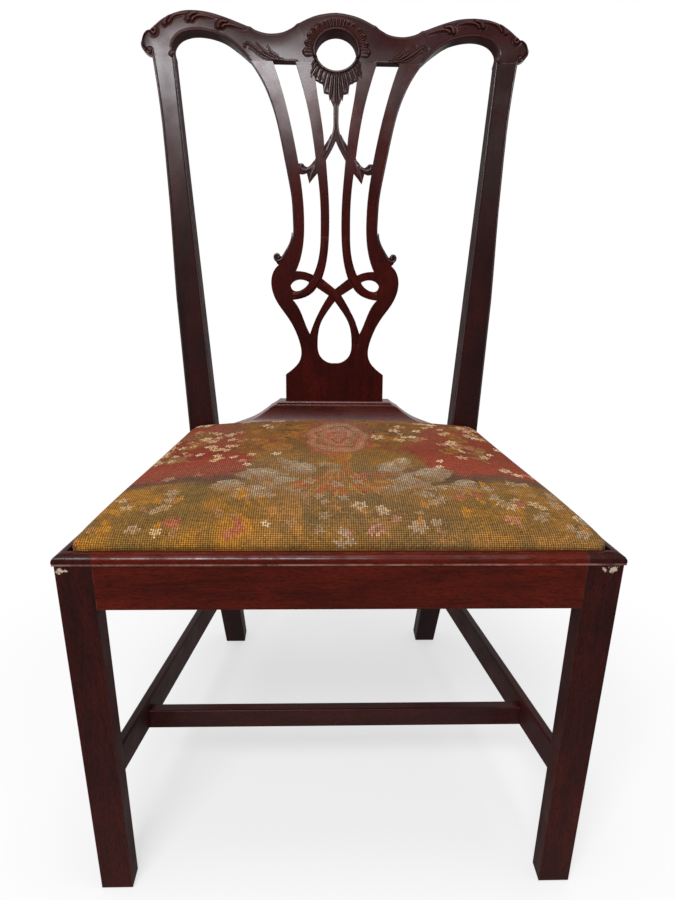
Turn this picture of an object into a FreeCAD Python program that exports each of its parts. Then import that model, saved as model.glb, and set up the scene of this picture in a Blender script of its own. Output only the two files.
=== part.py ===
import FreeCAD, Part
import math
import os

Vector = FreeCAD.Vector

# Mahogany side chair with a pierced splat and a drop-in seat.
# Millimetres. +Z is up, +X is to the right as one faces the chair's front, and +Y runs from the front
# rail to the back. While the chair is drawn, y is 0 at the front legs' front face and z is 0 at the
# floor. Each piece is moved at the end, so that the origin lies on the floor under the chair's middle.

# Overall sizes
front_width = 550.0          # across the front legs
back_width = 415.0           # across the back posts at the seat
seat_depth = 395.0           # from the front face to the back posts' front face
rail_top = 435.0             # height of the seat rails
crest_top = 967.5            # height of the crest rail's middle
back_rake = 0.1661           # how far the back leans away for each unit of height

# Seat rails
rail_height = 60.0
rail_thickness = 22.0
ledge_drop = 20.0            # from the rails' top to the ledge that carries the seat
rim_width = 9.0              # of the raised rim outside the seat
rear_ledge = 10.0            # width of the ledge along the rear rail
mould_height = 12.0          # the thumb moulding along the top of the rails
mould_out = 1.5
mould_in = 5.0
mould_step = 1.0
rear_rail_thickness = 23.0
rail_tenon_length = 18.0
side_tenon_length = 13.5     # of the side rails' front tenons, which stop short of the front rail's
tenon_root = 4.0             # how far the rear rail's tenons run back into it
rail_tenon_thickness = 9.0
rail_tenon_shoulder = 8.0    # from the rail's edges to its tenon
glue_gap = 0.1               # round every tenon

# Front legs
leg_width = 35.6
leg_chamfer = 9.6            # along the inner back corner
foot_ease = 2.0              # bevel round the bottom of each leg

# Back posts: rear leg below, stile above
post_width_seat = 37.7
post_width_foot = 32.8
post_width_top = 28.5
post_depth_seat = 39.0
post_depth_foot = 33.1
post_depth_top = 30.0
rear_foot_back = 123.8       # the rear foot's front face behind the post's front face at the seat
rear_foot_half = 188.2       # half the width across the rear feet
stile_top_half = 237.5       # half the width across the stiles at the crest rail
leg_knee = 85.0              # height over which the rear leg turns upright under the seat
leg_bend_height = 300.0      # below it the rear legs draw in faster towards the feet
leg_bend_half = 204.7        # half the width across the rear legs there
leg_bend_width = 37.2
stile_joint = 915.5          # height of the joint between stiles and crest rail
stile_hollow = 3.9           # how far the stiles' outer edges curve in between seat and crest rail
stile_bevel_low = 3.0        # of the bevels along the stile's back edges, at the seat
stile_bevel_top = 9.0

# Stretchers
side_stretcher_bottom = 118.3
side_stretcher_height = 36.9
side_stretcher_thickness = 11.5
cross_stretcher_height = 25.5
cross_stretcher_thickness = 15.5
cross_stretcher_front = 139.9
stretcher_tenon_length = 14.0
stretcher_tenon_shoulder = 6.0
stretcher_tenon_thickness = 6.0
stretcher_round = 2.5

# Splat, shoe and crest rail
splat_thickness = 10.0
splat_joint = 912.0          # height of the joint between splat and crest rail
splat_foot_half = 69.0       # half the width of the splat's foot
splat_foot_sink = 6.0        # the splat's foot stops this far above the rear rail
crest_thickness = 28.0
strap_reach = 112.0          # half the width across the straps at the crest rail
strap_tenon_length = 12.0
strap_tenon_thickness = 5.0
crest_foot_thickness = 14.5  # of the crest rail's lower edge between the arches
crest_bevel_height = 18.0    # over which it thickens behind
ear_reach = 13.5             # of the ears outside the stiles
ear_edge_thickness = 9.0     # of the ears' lower edge outside the stiles
ear_bevel_height = 24.0
shoe_height = 45.0           # above the seat rails
shoe_reach = 6.0             # the shoe's foot comes this far in front of the posts
shoe_depth = 27.5
shoe_lip = 5.0               # the shoe's top edge in front of the splat
shoe_end = 9.0               # the shoe's top reaches this far past the splat's foot
medallion_height = 925.3     # of the middle of the oval hole
hole_half_width = 26.5
hole_half_height = 22.8
relief = 4.0                 # how far the main carving stands off the board
bud_radius = 4.2
scroll_radius = 5.0

# Corner blocks and their screws
block_leg = 62.0             # along each rail
block_height = 32.0
block_drop = 5.0             # from the ledge to the block's top
screw_radius = 2.0
screw_head_radius = 3.9
screw_head_height = 2.4
screw_length = 30.0
screw_place = 38.4           # from the corner, along each rail
screw_bite = 13.2            # how deep each screw goes into its rail
pocket_gap = 0.4             # round the screws' heads

# Drop-in seat
seat_gap = 1.2               # between the seat and the rim, shoe and posts
cover_thickness = 1.6
seat_frame_width = 52.0
seat_frame_height = 17.5
seat_front_radius = 12.0     # of the seat's corners, seen from above
seat_rear_radius = 26.0
flange_width = 24.0          # of the cover turned under the frame
web_width = 50.0
web_thickness = 1.4
web_inset = 14.0             # from the seat's edge to the webs' ends
hessian_thickness = 0.8
hessian_inset = 12.0
side_rise = 4.0              # of the cover's upright edge above the rim, along the sides
shoulder_rise = 16.0         # to where the rounded edge runs into the crown
crown_rise = 33.0            # to the middle of the crown
roll = 30.0                  # depth of the cover's rounded front and rear edges
trim = 1.0                   # by which the seat's form is drawn larger, before its plan cuts it
dust_cover_thickness = 0.7
dust_cover_gap = 0.4         # between the turned-in cover and the dust cover's edge
tack_head_radius = 3.2
tack_head_height = 1.0
tack_shank_radius = 0.8
tack_shank_length = 8.0
cover_tack_inset = 18.0      # from the frame's edge to the tacks that hold the cover
dust_tack_inset = 7.0        # from the dust cover's edge to its tacks
tack_spacing = 45.0

# Places that follow from the sizes above
half_front = front_width / 2
half_back = back_width / 2
side_slope = (half_front - half_back) / seat_depth
side_angle = math.atan(side_slope)
rail_bottom = rail_top - rail_height
ledge = rail_top - ledge_drop
shoe_top = rail_top + shoe_height
mould_bottom = rail_top - mould_height
leg_inner = half_front - leg_width
rear_foot_front = seat_depth + rear_foot_back
shoe_front = seat_depth - shoe_reach
rear_rail_front = shoe_front - rear_ledge
rear_rail_back = seat_depth + rear_rail_thickness
post_inner_seat = half_back - post_width_seat
post_inner_top = stile_top_half - post_width_top
side_stretcher_top = side_stretcher_bottom + side_stretcher_height
cross_stretcher_top = side_stretcher_bottom + cross_stretcher_height
centre_shift = (rear_foot_front + post_depth_foot - mould_out) / 2
reach = 900.0                # longer than any piece, for cutting shapes


def polygon_face(points):
    return Part.Face(Part.makePolygon(points + [points[0]]))


def plan_prism(plan, bottom, top):
    """A solid over a plan of x, y corners, from one height to another."""
    face = polygon_face([Vector(x, y, bottom) for x, y in plan])
    return face.extrude(Vector(0, 0, top - bottom))


def block(x0, x1, y0, y1, z0, z1):
    return Part.makeBox(x1 - x0, y1 - y0, z1 - z0, Vector(x0, y0, z0))


def mirrored(shape):
    """The same piece on the other side of the chair."""
    return shape.mirror(Vector(0, 0, 0), Vector(1, 0, 0))


def wire_through(stretches, place):
    """A closed outline. Each stretch starts where the one before it ends; a stretch of one point
    is a straight line, and a longer one is a smooth curve through its points."""
    edges = []
    start = stretches[-1][-1]
    for stretch in stretches:
        points = [place(*point) for point in [start] + stretch]
        if len(points) == 2:
            edges.append(Part.LineSegment(points[0], points[1]).toShape())
        else:
            curve = Part.BSplineCurve()
            curve.interpolate(points)
            edges.append(curve.toShape())
        start = stretch[-1]
    return Part.Wire(edges)


# The chair's sides: outer faces of side rails and side stretchers lie in one upright plane.

def side_x(y, inward=0.0):
    """The x of the right-hand side plane, or of a plane that far inside it."""
    return half_front - side_slope * y - inward / math.cos(side_angle)


def side_plan(y0, y1, outer, inner):
    """A plan strip along the right-hand side, between two depths measured in from the side plane."""
    return [(side_x(y0, outer), y0), (side_x(y1, outer), y1),
            (side_x(y1, inner), y1), (side_x(y0, inner), y0)]


# The raked back: x across, height above the floor, and depth behind the back's front plane.

back_normal = Vector(0, 1, -back_rake).normalize()


def back_front_y(height):
    return seat_depth + (height - rail_top) * back_rake


def on_back(x, height):
    return Vector(x, back_front_y(height), height)


def follow(value, marks):
    """Carries a number of a drawing over to the chair. The marks pair drawn numbers with real ones."""
    for (a, real_a), (b, real_b) in zip(marks, marks[1:]):
        if value <= b:
            break
    return real_a + (real_b - real_a) * (value - a) / (b - a)


def on_splat(across, up):
    """A point of the splat's drawing: squares out from the middle, and up from the shoe."""
    x = follow(abs(across), [(0, 0), (6.9, splat_foot_half), (11.2, strap_reach)])
    return on_back(math.copysign(x, across), follow(up, [(0, shoe_top), (43.2, splat_joint)]))


def on_crest(across, up):
    """A point of the crest rail's drawing: squares out from the middle, and up from the splat."""
    x = follow(abs(across), [(0, 0), (11.2, strap_reach), (20.9, post_inner_top),
                             (23.75, stile_top_half), (25.1, stile_top_half + ear_reach)])
    return on_back(math.copysign(x, across),
                   follow(up, [(0, splat_joint), (0.35, stile_joint), (5.55, crest_top)]))


def back_board(stretches, place, thickness, proud=0.0):
    """A board of the given outline, its front face standing proud of the back's front plane."""
    face = Part.Face(wire_through(stretches, place))
    face.translate(back_normal * -proud)
    return face.extrude(back_normal * (thickness + proud))


def back_box(x0, x1, height0, height1, depth0, depth1):
    """A straight block in the raked frame."""
    corners = [[(x1, height0)], [(x1, height1)], [(x0, height1)], [(x0, height0)]]
    face = Part.Face(wire_through(corners, on_back))
    face.translate(back_normal * depth0)
    return face.extrude(back_normal * (depth1 - depth0))


# The moulding worked along the top of the front and side rails and the legs.

def mould_profile(place):
    """The region behind the moulded front face, as a face whose points are placed by the caller."""
    lip = mould_bottom + 0.8
    arc_start = (-mould_out, lip + 2.0)
    arc_middle = (-mould_out + mould_in * 0.32, rail_top - mould_step - mould_in * 0.42)
    arc_end = (mould_in, rail_top - mould_step)
    edges = []
    path = [(0, -1.0), (0, mould_bottom), (-mould_out, lip), arc_start]
    for a, b in zip(path, path[1:]):
        edges.append(Part.LineSegment(place(*a), place(*b)).toShape())
    edges.append(Part.Arc(place(*arc_start), place(*arc_middle), place(*arc_end)).toShape())
    path = [arc_end, (mould_in, rail_top), (reach, rail_top), (reach, -1.0), (0, -1.0)]
    for a, b in zip(path, path[1:]):
        edges.append(Part.LineSegment(place(*a), place(*b)).toShape())
    return Part.Face(Part.Wire(edges))


def front_limit():
    face = mould_profile(lambda depth, z: Vector(-reach, depth, z))
    return face.extrude(Vector(2 * reach, 0, 0))


def side_limit():
    inward = Vector(-math.cos(side_angle), -math.sin(side_angle), 0)
    along = Vector(-math.sin(side_angle), math.cos(side_angle), 0)
    start = Vector(half_front, 0, 0) - along * reach

    def place(depth, z):
        return start + inward * depth + Vector(0, 0, z)
    return mould_profile(place).extrude(along * (2 * reach))


def seat_well():
    """The space that the drop-in seat fills, inside the rim and above the ledge."""
    plan = [(side_x(rim_width, rim_width), rim_width),
            (side_x(shoe_front, rim_width), shoe_front),
            (-side_x(shoe_front, rim_width), shoe_front),
            (-side_x(rim_width, rim_width), rim_width)]
    return plan_prism(plan, ledge, rail_top + 1.0)


def rail_tenon_heights():
    return rail_bottom + rail_tenon_shoulder, ledge - rail_tenon_shoulder


# Front legs and rails

def front_leg():
    spare = mould_out + 1.0
    plan = [(half_front + spare, -spare), (side_x(leg_width, -spare), leg_width),
            (leg_inner + leg_chamfer, leg_width), (leg_inner, leg_width - leg_chamfer),
            (leg_inner, -spare)]
    leg = plan_prism(plan, 0, rail_top)
    leg = leg.common(front_limit()).common(side_limit())
    bottom_edges = [edge for edge in leg.Edges if edge.BoundBox.ZMax < 0.01]
    leg = leg.makeChamfer(foot_ease, bottom_edges)
    return leg.cut(seat_well())


def front_rail():
    spare = mould_out + 1.0
    rail = block(-leg_inner, leg_inner, -spare, rail_thickness, rail_bottom, rail_top)
    rail = rail.common(front_limit()).cut(seat_well())
    for side in (-1, 1):
        rail = rail.fuse(front_rail_tenon(side, 0.0))
    return rail.removeSplitter()


def front_rail_tenon(side, gap):
    low, high = rail_tenon_heights()
    near = (rail_thickness - rail_tenon_thickness) / 2
    x0, x1 = sorted((side * leg_inner, side * (leg_inner + rail_tenon_length)))
    return block(x0 - gap, x1 + gap, near - gap, near + rail_tenon_thickness + gap, low - gap, high + gap)


def side_rail():
    spare = mould_out + 1.0
    plan = side_plan(leg_width, seat_depth + post_depth_seat / 2, -spare, rail_thickness)
    rail = plan_prism(plan, rail_bottom, rail_top).common(side_limit())
    rail = rail.cut(post_side_view()).cut(seat_well())
    rail = max(rail.Solids, key=lambda solid: solid.Volume)
    return rail.fuse(side_rail_tenons(0.0)).removeSplitter()


def side_rail_tenons(gap):
    """One at each end, square to the rail's length in plan."""
    low, high = rail_tenon_heights()
    outer = (rail_thickness - rail_tenon_thickness) / 2 - gap
    inner = outer + rail_tenon_thickness + 2 * gap
    front = side_plan(leg_width - side_tenon_length - gap, leg_width + 1.0, outer, inner)
    rear = side_plan(seat_depth - 1.0, seat_depth + rail_tenon_length + gap, outer, inner)
    front_solid = plan_prism(front, low - gap, high + gap)
    rear_solid = plan_prism(rear, low - gap, high + gap)
    return front_solid.fuse(rear_solid)


def rear_rail():
    back = rear_rail_back
    rail = block(-post_inner_seat, post_inner_seat, rear_rail_front, back, rail_bottom, rail_top)
    right = side_plan(rear_rail_front, seat_depth, rail_thickness, rail_thickness)[:2]
    ledge_plan = right + [(-x, y) for x, y in reversed(right)]
    rail = rail.fuse(plan_prism(ledge_plan, rail_bottom, ledge))
    rail = rail.cut(seat_well()).cut(post_pair())
    for side in (-1, 1):
        rail = rail.fuse(rear_rail_tenon(side, 0.0))
    return rail.removeSplitter()


def rear_rail_tenon(side, gap):
    low, high = rail_tenon_heights()
    near = seat_depth + (rear_rail_thickness - rail_tenon_thickness) / 2
    x0, x1 = sorted((side * (post_inner_seat - tenon_root), side * (post_inner_seat + rail_tenon_length)))
    return block(x0 - gap, x1 + gap, near - gap, near + rail_tenon_thickness + gap, low - gap, high + gap)


# Back posts

def post_side_view():
    """The back post seen from the side, carried right across the chair."""
    knee = rail_top - leg_knee
    splay = rear_foot_back / (rail_top - leg_knee * 0.38)
    square_end = post_depth_top / (1 + back_rake ** 2)
    outline = [[(seat_depth, rail_top)],
               [(seat_depth + 1.6, rail_top - leg_knee * 0.4), (rear_foot_front - splay * knee, knee)],
               [(rear_foot_front, 0)],
               [(rear_foot_front + post_depth_foot, 0)],
               [(rear_foot_front - splay * knee + post_depth_seat - 0.5, knee)],
               [(seat_depth + post_depth_seat + 3.5, rail_top - leg_knee * 0.45),
                (seat_depth + post_depth_seat + 0.4, rail_top - leg_knee * 0.06),
                (back_front_y(rail_top + leg_knee / 2) + post_depth_seat - 1.0, rail_top + leg_knee / 2),
                (back_front_y(rail_top + leg_knee) + post_depth_seat - 2.0, rail_top + leg_knee)],
               [(back_front_y(stile_joint) + square_end, stile_joint - square_end * back_rake)],
               [(back_front_y(stile_joint), stile_joint)]]
    face = Part.Face(wire_through(outline, lambda y, z: Vector(-reach, y, z)))
    return face.extrude(Vector(2 * reach, 0, 0))


def back_post_blank():
    """The side view of leg and stile, crossed with the front view."""
    outline = [[(rear_foot_half, 0)], [(leg_bend_half, leg_bend_height)], [(half_back, rail_top)],
               [stile_edge(0.385, 0.0)],
               [stile_edge(0.51, 0.45), stile_edge(0.645, 0.92), stile_edge(0.722, 1.0),
                stile_edge(0.853, 1.0), stile_edge(0.947, 0.46), stile_edge(1.0, 0.0)],
               [(post_inner_top, stile_joint)], [(post_inner_seat, rail_top)],
               [(leg_bend_half - leg_bend_width, leg_bend_height)],
               [(rear_foot_half - post_width_foot, 0)]]
    front_view = Part.Face(wire_through(outline, lambda x, z: Vector(x, 0, z)))
    front_view = front_view.extrude(Vector(0, reach, 0))
    post = post_side_view().common(front_view)
    bottom_edges = [edge for edge in post.Edges if edge.BoundBox.ZMax < 0.01]
    post = post.makeChamfer(foot_ease, bottom_edges)
    outer = stile_bevel(half_back, stile_top_half, 1)
    inner = stile_bevel(post_inner_seat, post_inner_top, -1)
    return post.cut(outer).cut(inner)


def stile_bevel(x_low, x_high, side):
    """The waste of the long bevel along one of the stile's back edges."""
    past = 20.0
    wires = []
    for x, y, z, width in ((x_low, seat_depth + post_depth_seat, rail_top, stile_bevel_low),
                           (x_high, back_front_y(stile_joint) + post_depth_top, stile_joint, stile_bevel_top)):
        corners = [Vector(x + side * past, y + past, z), Vector(x - side * (width + past), y + past, z),
                   Vector(x + side * past, y - width - past, z)]
        wires.append(Part.makePolygon(corners + corners[:1]))
    return Part.makeLoft(wires, True, True)


def stile_edge(share, hollow):
    """A point on the stile's outer edge: how far up it lies, and how much of the hollow it has."""
    x = half_back + (stile_top_half - half_back) * share - stile_hollow * hollow
    return x, rail_top + (stile_joint - rail_top) * share


def stile_tenon(gap):
    middle = (stile_top_half + post_inner_top) / 2
    width = post_width_top - 2 * stretcher_tenon_shoulder
    depth = (post_depth_top - rail_tenon_thickness) / 2
    return back_box(middle - width / 2 - gap, middle + width / 2 + gap,
                    stile_joint - 1.0, stile_joint + strap_tenon_length + gap,
                    depth - gap, depth + rail_tenon_thickness + gap)


# Stretchers

def side_stretcher():
    outer = 0.0
    plan = side_plan(leg_width, rear_foot_front, outer, outer + side_stretcher_thickness)
    bar = plan_prism(plan, side_stretcher_bottom, side_stretcher_top)
    top_edges = [edge for edge in bar.Edges
                 if edge.BoundBox.ZMin > side_stretcher_top - 0.01 and edge.Length > reach / 3]
    bar = bar.makeFillet(stretcher_round, top_edges)
    bar = bar.cut(back_post_blank())
    bar = max(bar.Solids, key=lambda solid: -solid.CenterOfMass.y)
    return bar.fuse(side_stretcher_tenons(0.0)).removeSplitter()


def side_stretcher_tenons(gap):
    low = side_stretcher_bottom + stretcher_tenon_shoulder - gap
    high = side_stretcher_top - stretcher_tenon_shoulder + gap
    outer = (side_stretcher_thickness - stretcher_tenon_thickness) / 2 - gap
    inner = outer + stretcher_tenon_thickness + 2 * gap
    front = side_plan(leg_width - stretcher_tenon_length - gap, leg_width + 1.0, outer, inner)
    meets = rear_foot_front - rear_foot_back * side_stretcher_bottom / (rail_top - leg_knee * 0.38)
    rear = side_plan(meets - 20.0, meets + stretcher_tenon_length * 0.5 + gap, outer, inner)
    return plan_prism(front, low, high).fuse(plan_prism(rear, low, high))


def cross_stretcher():
    front = cross_stretcher_front
    back = front + cross_stretcher_thickness
    right = [(side_x(front, side_stretcher_thickness), front), (side_x(back, side_stretcher_thickness), back)]
    left = [(-x, y) for x, y in reversed(right)]
    bar = plan_prism(right + left, side_stretcher_bottom, cross_stretcher_top)
    top_edges = [edge for edge in bar.Edges
                 if edge.BoundBox.ZMin > cross_stretcher_top - 0.01 and edge.Length > reach / 3]
    bar = bar.makeFillet(stretcher_round, top_edges)
    return bar.fuse(cross_stretcher_tenons(0.0)).removeSplitter()


def cross_stretcher_tenons(gap):
    near = cross_stretcher_front + (cross_stretcher_thickness - stretcher_tenon_thickness) / 2
    end = side_x(near, side_stretcher_thickness * 0.35) + gap
    bar = block(-end, end, near - gap, near + stretcher_tenon_thickness + gap,
                side_stretcher_bottom + stretcher_tenon_shoulder - gap,
                cross_stretcher_top - stretcher_tenon_shoulder + gap)
    return bar


# Shoe

def shoe_half_end(top_half):
    """The right-hand end of the shoe seen from the front, from its top corner down to the post."""
    return [[(top_half, shoe_top)],
            [(top_half + 5.0, shoe_top - 4.0)],
            [(top_half + 12.0, shoe_top - 8.0)],
            [(top_half + 16.0, shoe_top - 11.5)],
            [(top_half + 24.0, shoe_top - 17.5), (top_half + 37.0, shoe_top - 25.5),
             (top_half + 55.0, shoe_top - 32.8), (top_half + 75.0, shoe_top - 39.5),
             (post_inner_seat + 1.0, shoe_top - 42.5)]]


def shoe():
    right = shoe_half_end(splat_foot_half + shoe_end)
    corner = right[-1][-1][0]
    left = [[(-x, z) for x, z in reversed(stretch)] for stretch in reversed(right)]
    curve = left[0][1:] + left[1]
    outline = right + [[(corner, rail_top)], [(-corner, rail_top)], [left[0][0]], curve] + left[2:]
    front_view = Part.Face(wire_through(outline, lambda x, z: Vector(x, 0, z)))
    front_view = front_view.extrude(Vector(0, reach, 0))
    body = front_view.common(shoe_moulding())
    return body.cut(splat_foot(glue_gap)).cut(post_pair())


def shoe_moulding():
    """The shoe's section: a bead, a quirk and a fillet over a long cove."""
    lip = back_front_y(shoe_top) - shoe_lip
    back = shoe_front + shoe_depth
    bead = 1.8
    quirk = shoe_top - 2 * bead - 0.6
    fillet = quirk - 2.6
    foot = rail_top + 6.0

    def at(y, z):
        return Vector(-reach, y, z)
    edges = [Part.LineSegment(at(back, rail_top), at(back, shoe_top)).toShape(),
             Part.LineSegment(at(back, shoe_top), at(lip + bead, shoe_top)).toShape(),
             Part.Arc(at(lip + bead, shoe_top), at(lip, shoe_top - bead),
                      at(lip + bead, shoe_top - 2 * bead)).toShape(),
             Part.LineSegment(at(lip + bead, shoe_top - 2 * bead), at(lip + bead, quirk)).toShape(),
             Part.LineSegment(at(lip + bead, quirk), at(lip + 0.4, quirk - 0.6)).toShape(),
             Part.LineSegment(at(lip + 0.4, quirk - 0.6), at(lip + 0.4, fillet)).toShape(),
             Part.Arc(at(lip + 0.4, fillet), at(lip + 0.2, (fillet + foot) / 2), at(shoe_front, foot)).toShape(),
             Part.LineSegment(at(shoe_front, foot), at(shoe_front, rail_top)).toShape(),
             Part.LineSegment(at(shoe_front, rail_top), at(back, rail_top)).toShape()]
    return Part.Face(Part.Wire(edges)).extrude(Vector(2 * reach, 0, 0))


def post_pair():
    post = back_post_blank()
    return post.fuse(mirrored(post))


def splat_foot(gap):
    return back_box(-splat_foot_half - gap, splat_foot_half + gap,
                    rail_top + splat_foot_sink - gap, shoe_top + splat_thickness / 2, -gap, splat_thickness + gap)


# Splat and crest rail. The right halves are drawn on squares of a centimetre, and the drawing
# stretches with the back's own sizes. The left halves are their mirror images.

def splat_half_outline():
    return [[(6.9, 0)], [(6.9, 3.65)],
            [(5.88, 4.43), (4.9, 5.65), (4.7, 6.77), (4.99, 8.23), (5.88, 10.32), (6.85, 11.79),
             (7.83, 13.1), (8.57, 14.56), (8.82, 15.93), (8.52, 17.39), (7.7, 18.35)],
            [(8.15, 18.9), (7.93, 19.5), (7.35, 19.35)],
            [(6.26, 20.6), (5.77, 22.35), (5.78, 24), (5.92, 26.54), (6.36, 29.16), (6.85, 31.6),
             (7.39, 34.22), (7.94, 36.55), (8.76, 38.99), (9.78, 41.12), (11.2, 43.2)],
            [(0, 43.2)], [(0, 0)]]


def splat_openings():
    """The pierced shapes of the right half. Those that cross the middle run a little past it."""
    teardrop = [[(-0.1, 13.6)], [(0, 13.6)], [(0.98, 12.32), (1.96, 10.67), (2.4, 8.03), (2.1, 6.3),
                                            (1.2, 5.46), (0, 5.24)], [(-0.1, 5.24)]]
    spade = [[(2.55, 15.44)], [(3.52, 14.47), (4.41, 14.06), (5.87, 13.78)],
             [(4.8, 12.22), (4.02, 10.3), (3.48, 9.2)], [(2.94, 10.67), (2.15, 12.32), (0.88, 14.39)]]
    eye = [[(4.45, 16.44), (5.4, 16.36), (6.15, 15.68)], [(5.6, 14.94), (4.5, 15.16), (3.62, 16.12)]]
    slot = [[(-0.1, 15.24)], [(0, 15.24)], [(1.81, 16.61)],
            [(1.17, 18.94), (0.93, 20.89), (0.83, 23.6), (0.89, 26.44), (1.03, 28.5), (1.32, 31.7)],
            [(0.9, 32.4), (0.4, 33.25), (0, 34.1)], [(-0.1, 34.1)]]
    side_low = [[(4.2, 17.44), (5.43, 17.54)],
                [(4.7, 19.5), (4.3, 22), (4.26, 24.3), (4.35, 26.24), (4.65, 28.87), (4.84, 30)],
                [(4.3, 29.95), (3.9, 30.1)], [(3.55, 28.8)], [(2.95, 29.55), (2.46, 30.1)],
                [(2.14, 27.5), (2.01, 24.98), (2.01, 22.84), (2.06, 20.89), (2.35, 18.94), (3.03, 17.05)]]
    side_high = [[(5.28, 43.3)], [(5.28, 43.2)],
                 [(4.55, 40.93), (3.77, 38.11), (3.18, 35.19), (2.68, 31.75)],
                 [(3.2, 31), (3.85, 30.7), (4.35, 31), (4.97, 31.1)],
                 [(5.38, 33.15), (5.87, 35.39), (6.73, 38.69), (7.58, 41.41), (8.26, 43.2)],
                 [(8.26, 43.3)]]
    fan_gap = [[(2.72, 41.3)], [(2.4, 39.1), (1.86, 36.07), (1.53, 33.15)],
               [(1, 33.7), (0.55, 34.6), (0.33, 36), (0.33, 38.2)], [(0.68, 38.95)],
               [(0.75, 39.65)], [(1.44, 39.76)], [(1.6, 40.8)], [(2.1, 41)]]
    return [teardrop, spade, eye, slot, side_low, side_high, fan_gap]


def medallion_hole(depth):
    centre = on_back(0, medallion_height) - back_normal * depth
    across = Vector(1, 0, 0)
    ellipse = Part.Ellipse(centre + across * hole_half_width,
                           centre + back_normal.cross(across) * hole_half_height, centre)
    return Part.Face(Part.Wire(ellipse.toShape())).extrude(back_normal * (2 * depth))


def splat():
    half = back_board(splat_half_outline(), on_splat, splat_thickness)
    for opening in splat_openings():
        half = half.cut(back_board(opening, on_splat, splat_thickness + 1.0, 1.0))
    whole = half.fuse(mirrored(half)).fuse(splat_foot(0.0)).fuse(fan_relief())
    whole = whole.cut(medallion_hole(crest_thickness * 2)).removeSplitter()
    for tenon in strap_tenons(0.0):
        whole = whole.fuse(tenon)
    return whole.removeSplitter()


def fan_relief():
    """The leaf fan under the medallion stands off the board."""
    half = [[(0, 43.2)], [(3, 43.2)], [(3.35, 42.4), (3.1, 41.4)], [(2.1, 41)],
            [(1.6, 40.8)], [(1.44, 39.76)], [(0.75, 39.65)], [(0.68, 38.95)], [(0, 38.2)]]
    right = back_board(half, on_splat, splat_thickness / 2, relief)
    return right.fuse(mirrored(right))


def strap_tenons(gap):
    tenons = []
    near = (splat_thickness - strap_tenon_thickness) / 2
    for across in ((3.3, 4.9), (8.7, 10.5)):
        x0, x1 = (on_splat(squares, 0).x for squares in across)
        tenon = back_box(x0 - gap, x1 + gap, splat_joint - 1.0, splat_joint + strap_tenon_length + gap,
                         near - gap, near + strap_tenon_thickness + gap)
        tenons += [tenon, mirrored(tenon)]
    return tenons


# Crest rail

def crest_half_outline():
    return [[(11.2, 0)],
            [(12, 0.8), (13, 1.68), (14, 2.36), (15, 2.84), (16, 3.13), (17, 3.31),
             (18, 3.37), (19, 3.27), (20, 2.94), (20.75, 2.35), (21.15, 1.5),
             (20.9, 0.35)],
            [(23.75, 0.35)],
            [(24.5, 0.55), (25.05, 1.25), (25.1, 1.9), (24.6, 2.68), (23.9, 3.06),
             (23.4, 3.16)],
            [(22.7, 3.76), (21.9, 4.4), (20.8, 4.98), (19.6, 5.36), (18.4, 5.47), (17.2, 5.39),
             (15.8, 5.06), (14.2, 4.53), (12.6, 3.98), (11.2, 3.66), (10, 3.28), (8.6, 3.07),
             (7, 3.23), (5.7, 3.88), (4.4, 4.64), (2.8, 5.18), (1.2, 5.46), (0, 5.55)],
            [(0, 0)]]


def crest_rail():
    half = back_board(crest_half_outline(), on_crest, crest_thickness)
    whole = half.fuse(mirrored(half)).fuse(shell_relief()).fuse(leaf_buds())
    whole = whole.cut(medallion_hole(crest_thickness * 2)).cut(crest_bevels()).removeSplitter()
    for tenon in strap_tenons(glue_gap):
        whole = whole.cut(tenon)
    for tenon in (stile_tenon(glue_gap), mirrored(stile_tenon(glue_gap))):
        whole = whole.cut(tenon)
    return whole


def back_bevel(x0, x1, thickness, height, rise):
    """The waste behind a slope from a thin lower edge to the rail's full thickness."""
    r = crest_thickness
    top = height + rise
    low = height - rise
    profile = [(x0, height, thickness), (x0, top, r), (x0, top, 2 * r), (x0, low, 2 * r), (x0, low, thickness)]
    face = polygon_face([on_back(x, z) + back_normal * depth for x, z, depth in profile])
    return face.extrude(Vector(x1 - x0, 0, 0))


def crest_bevels():
    """Behind the straps and under both ears the rail is pared thin."""
    middle = back_bevel(-strap_reach, strap_reach, crest_foot_thickness, splat_joint, crest_bevel_height)
    ear = back_bevel(stile_top_half, reach, ear_edge_thickness, splat_joint, ear_bevel_height)
    return Part.makeCompound([middle, ear, mirrored(ear)])


def shell_relief():
    """The shell round the medallion's upper half stands off the rail."""
    half = [[(3.15, 0)], [(3.3, 0.8), (4.35, 1.4), (4.1, 2.5),
            (3.6, 3.6), (2.8, 4.5), (1.6, 4.95), (0, 5.1)], [(0, 0)]]
    right = back_board(half, on_crest, crest_thickness / 2, relief)
    return right.fuse(mirrored(right))


def leaf_buds():
    """Small raised buds along the ears and at the ears' scrolls."""
    buds = []
    for across, up, radius in ((21.8, 4.05, bud_radius), (18.9, 4.65, bud_radius), (14.95, 4.2, bud_radius),
                               (23.35, 2.8, scroll_radius), (23.8, 0.9, bud_radius)):
        bud = Part.makeCylinder(radius, relief, on_crest(across, up) - back_normal * relief / 2, back_normal)
        buds += [bud, mirrored(bud)]
    return Part.makeCompound(buds)


# Corner blocks

def corner_block(front):
    top = ledge - block_drop
    if front:
        y0 = rail_thickness
        y1 = y0 + block_leg
        plan = [(side_x(y0, rail_thickness), y0), (side_x(y1, rail_thickness), y1),
                (side_x(y0, rail_thickness) - block_leg, y0)]
    else:
        y1 = rear_rail_front
        y0 = y1 - block_leg
        plan = [(side_x(y1, rail_thickness), y1), (side_x(y1, rail_thickness) - block_leg, y1),
                (side_x(y0, rail_thickness), y0)]
    solid = plan_prism(plan, top - block_height, top)
    return solid.cut(front_leg()) if front else solid


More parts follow.
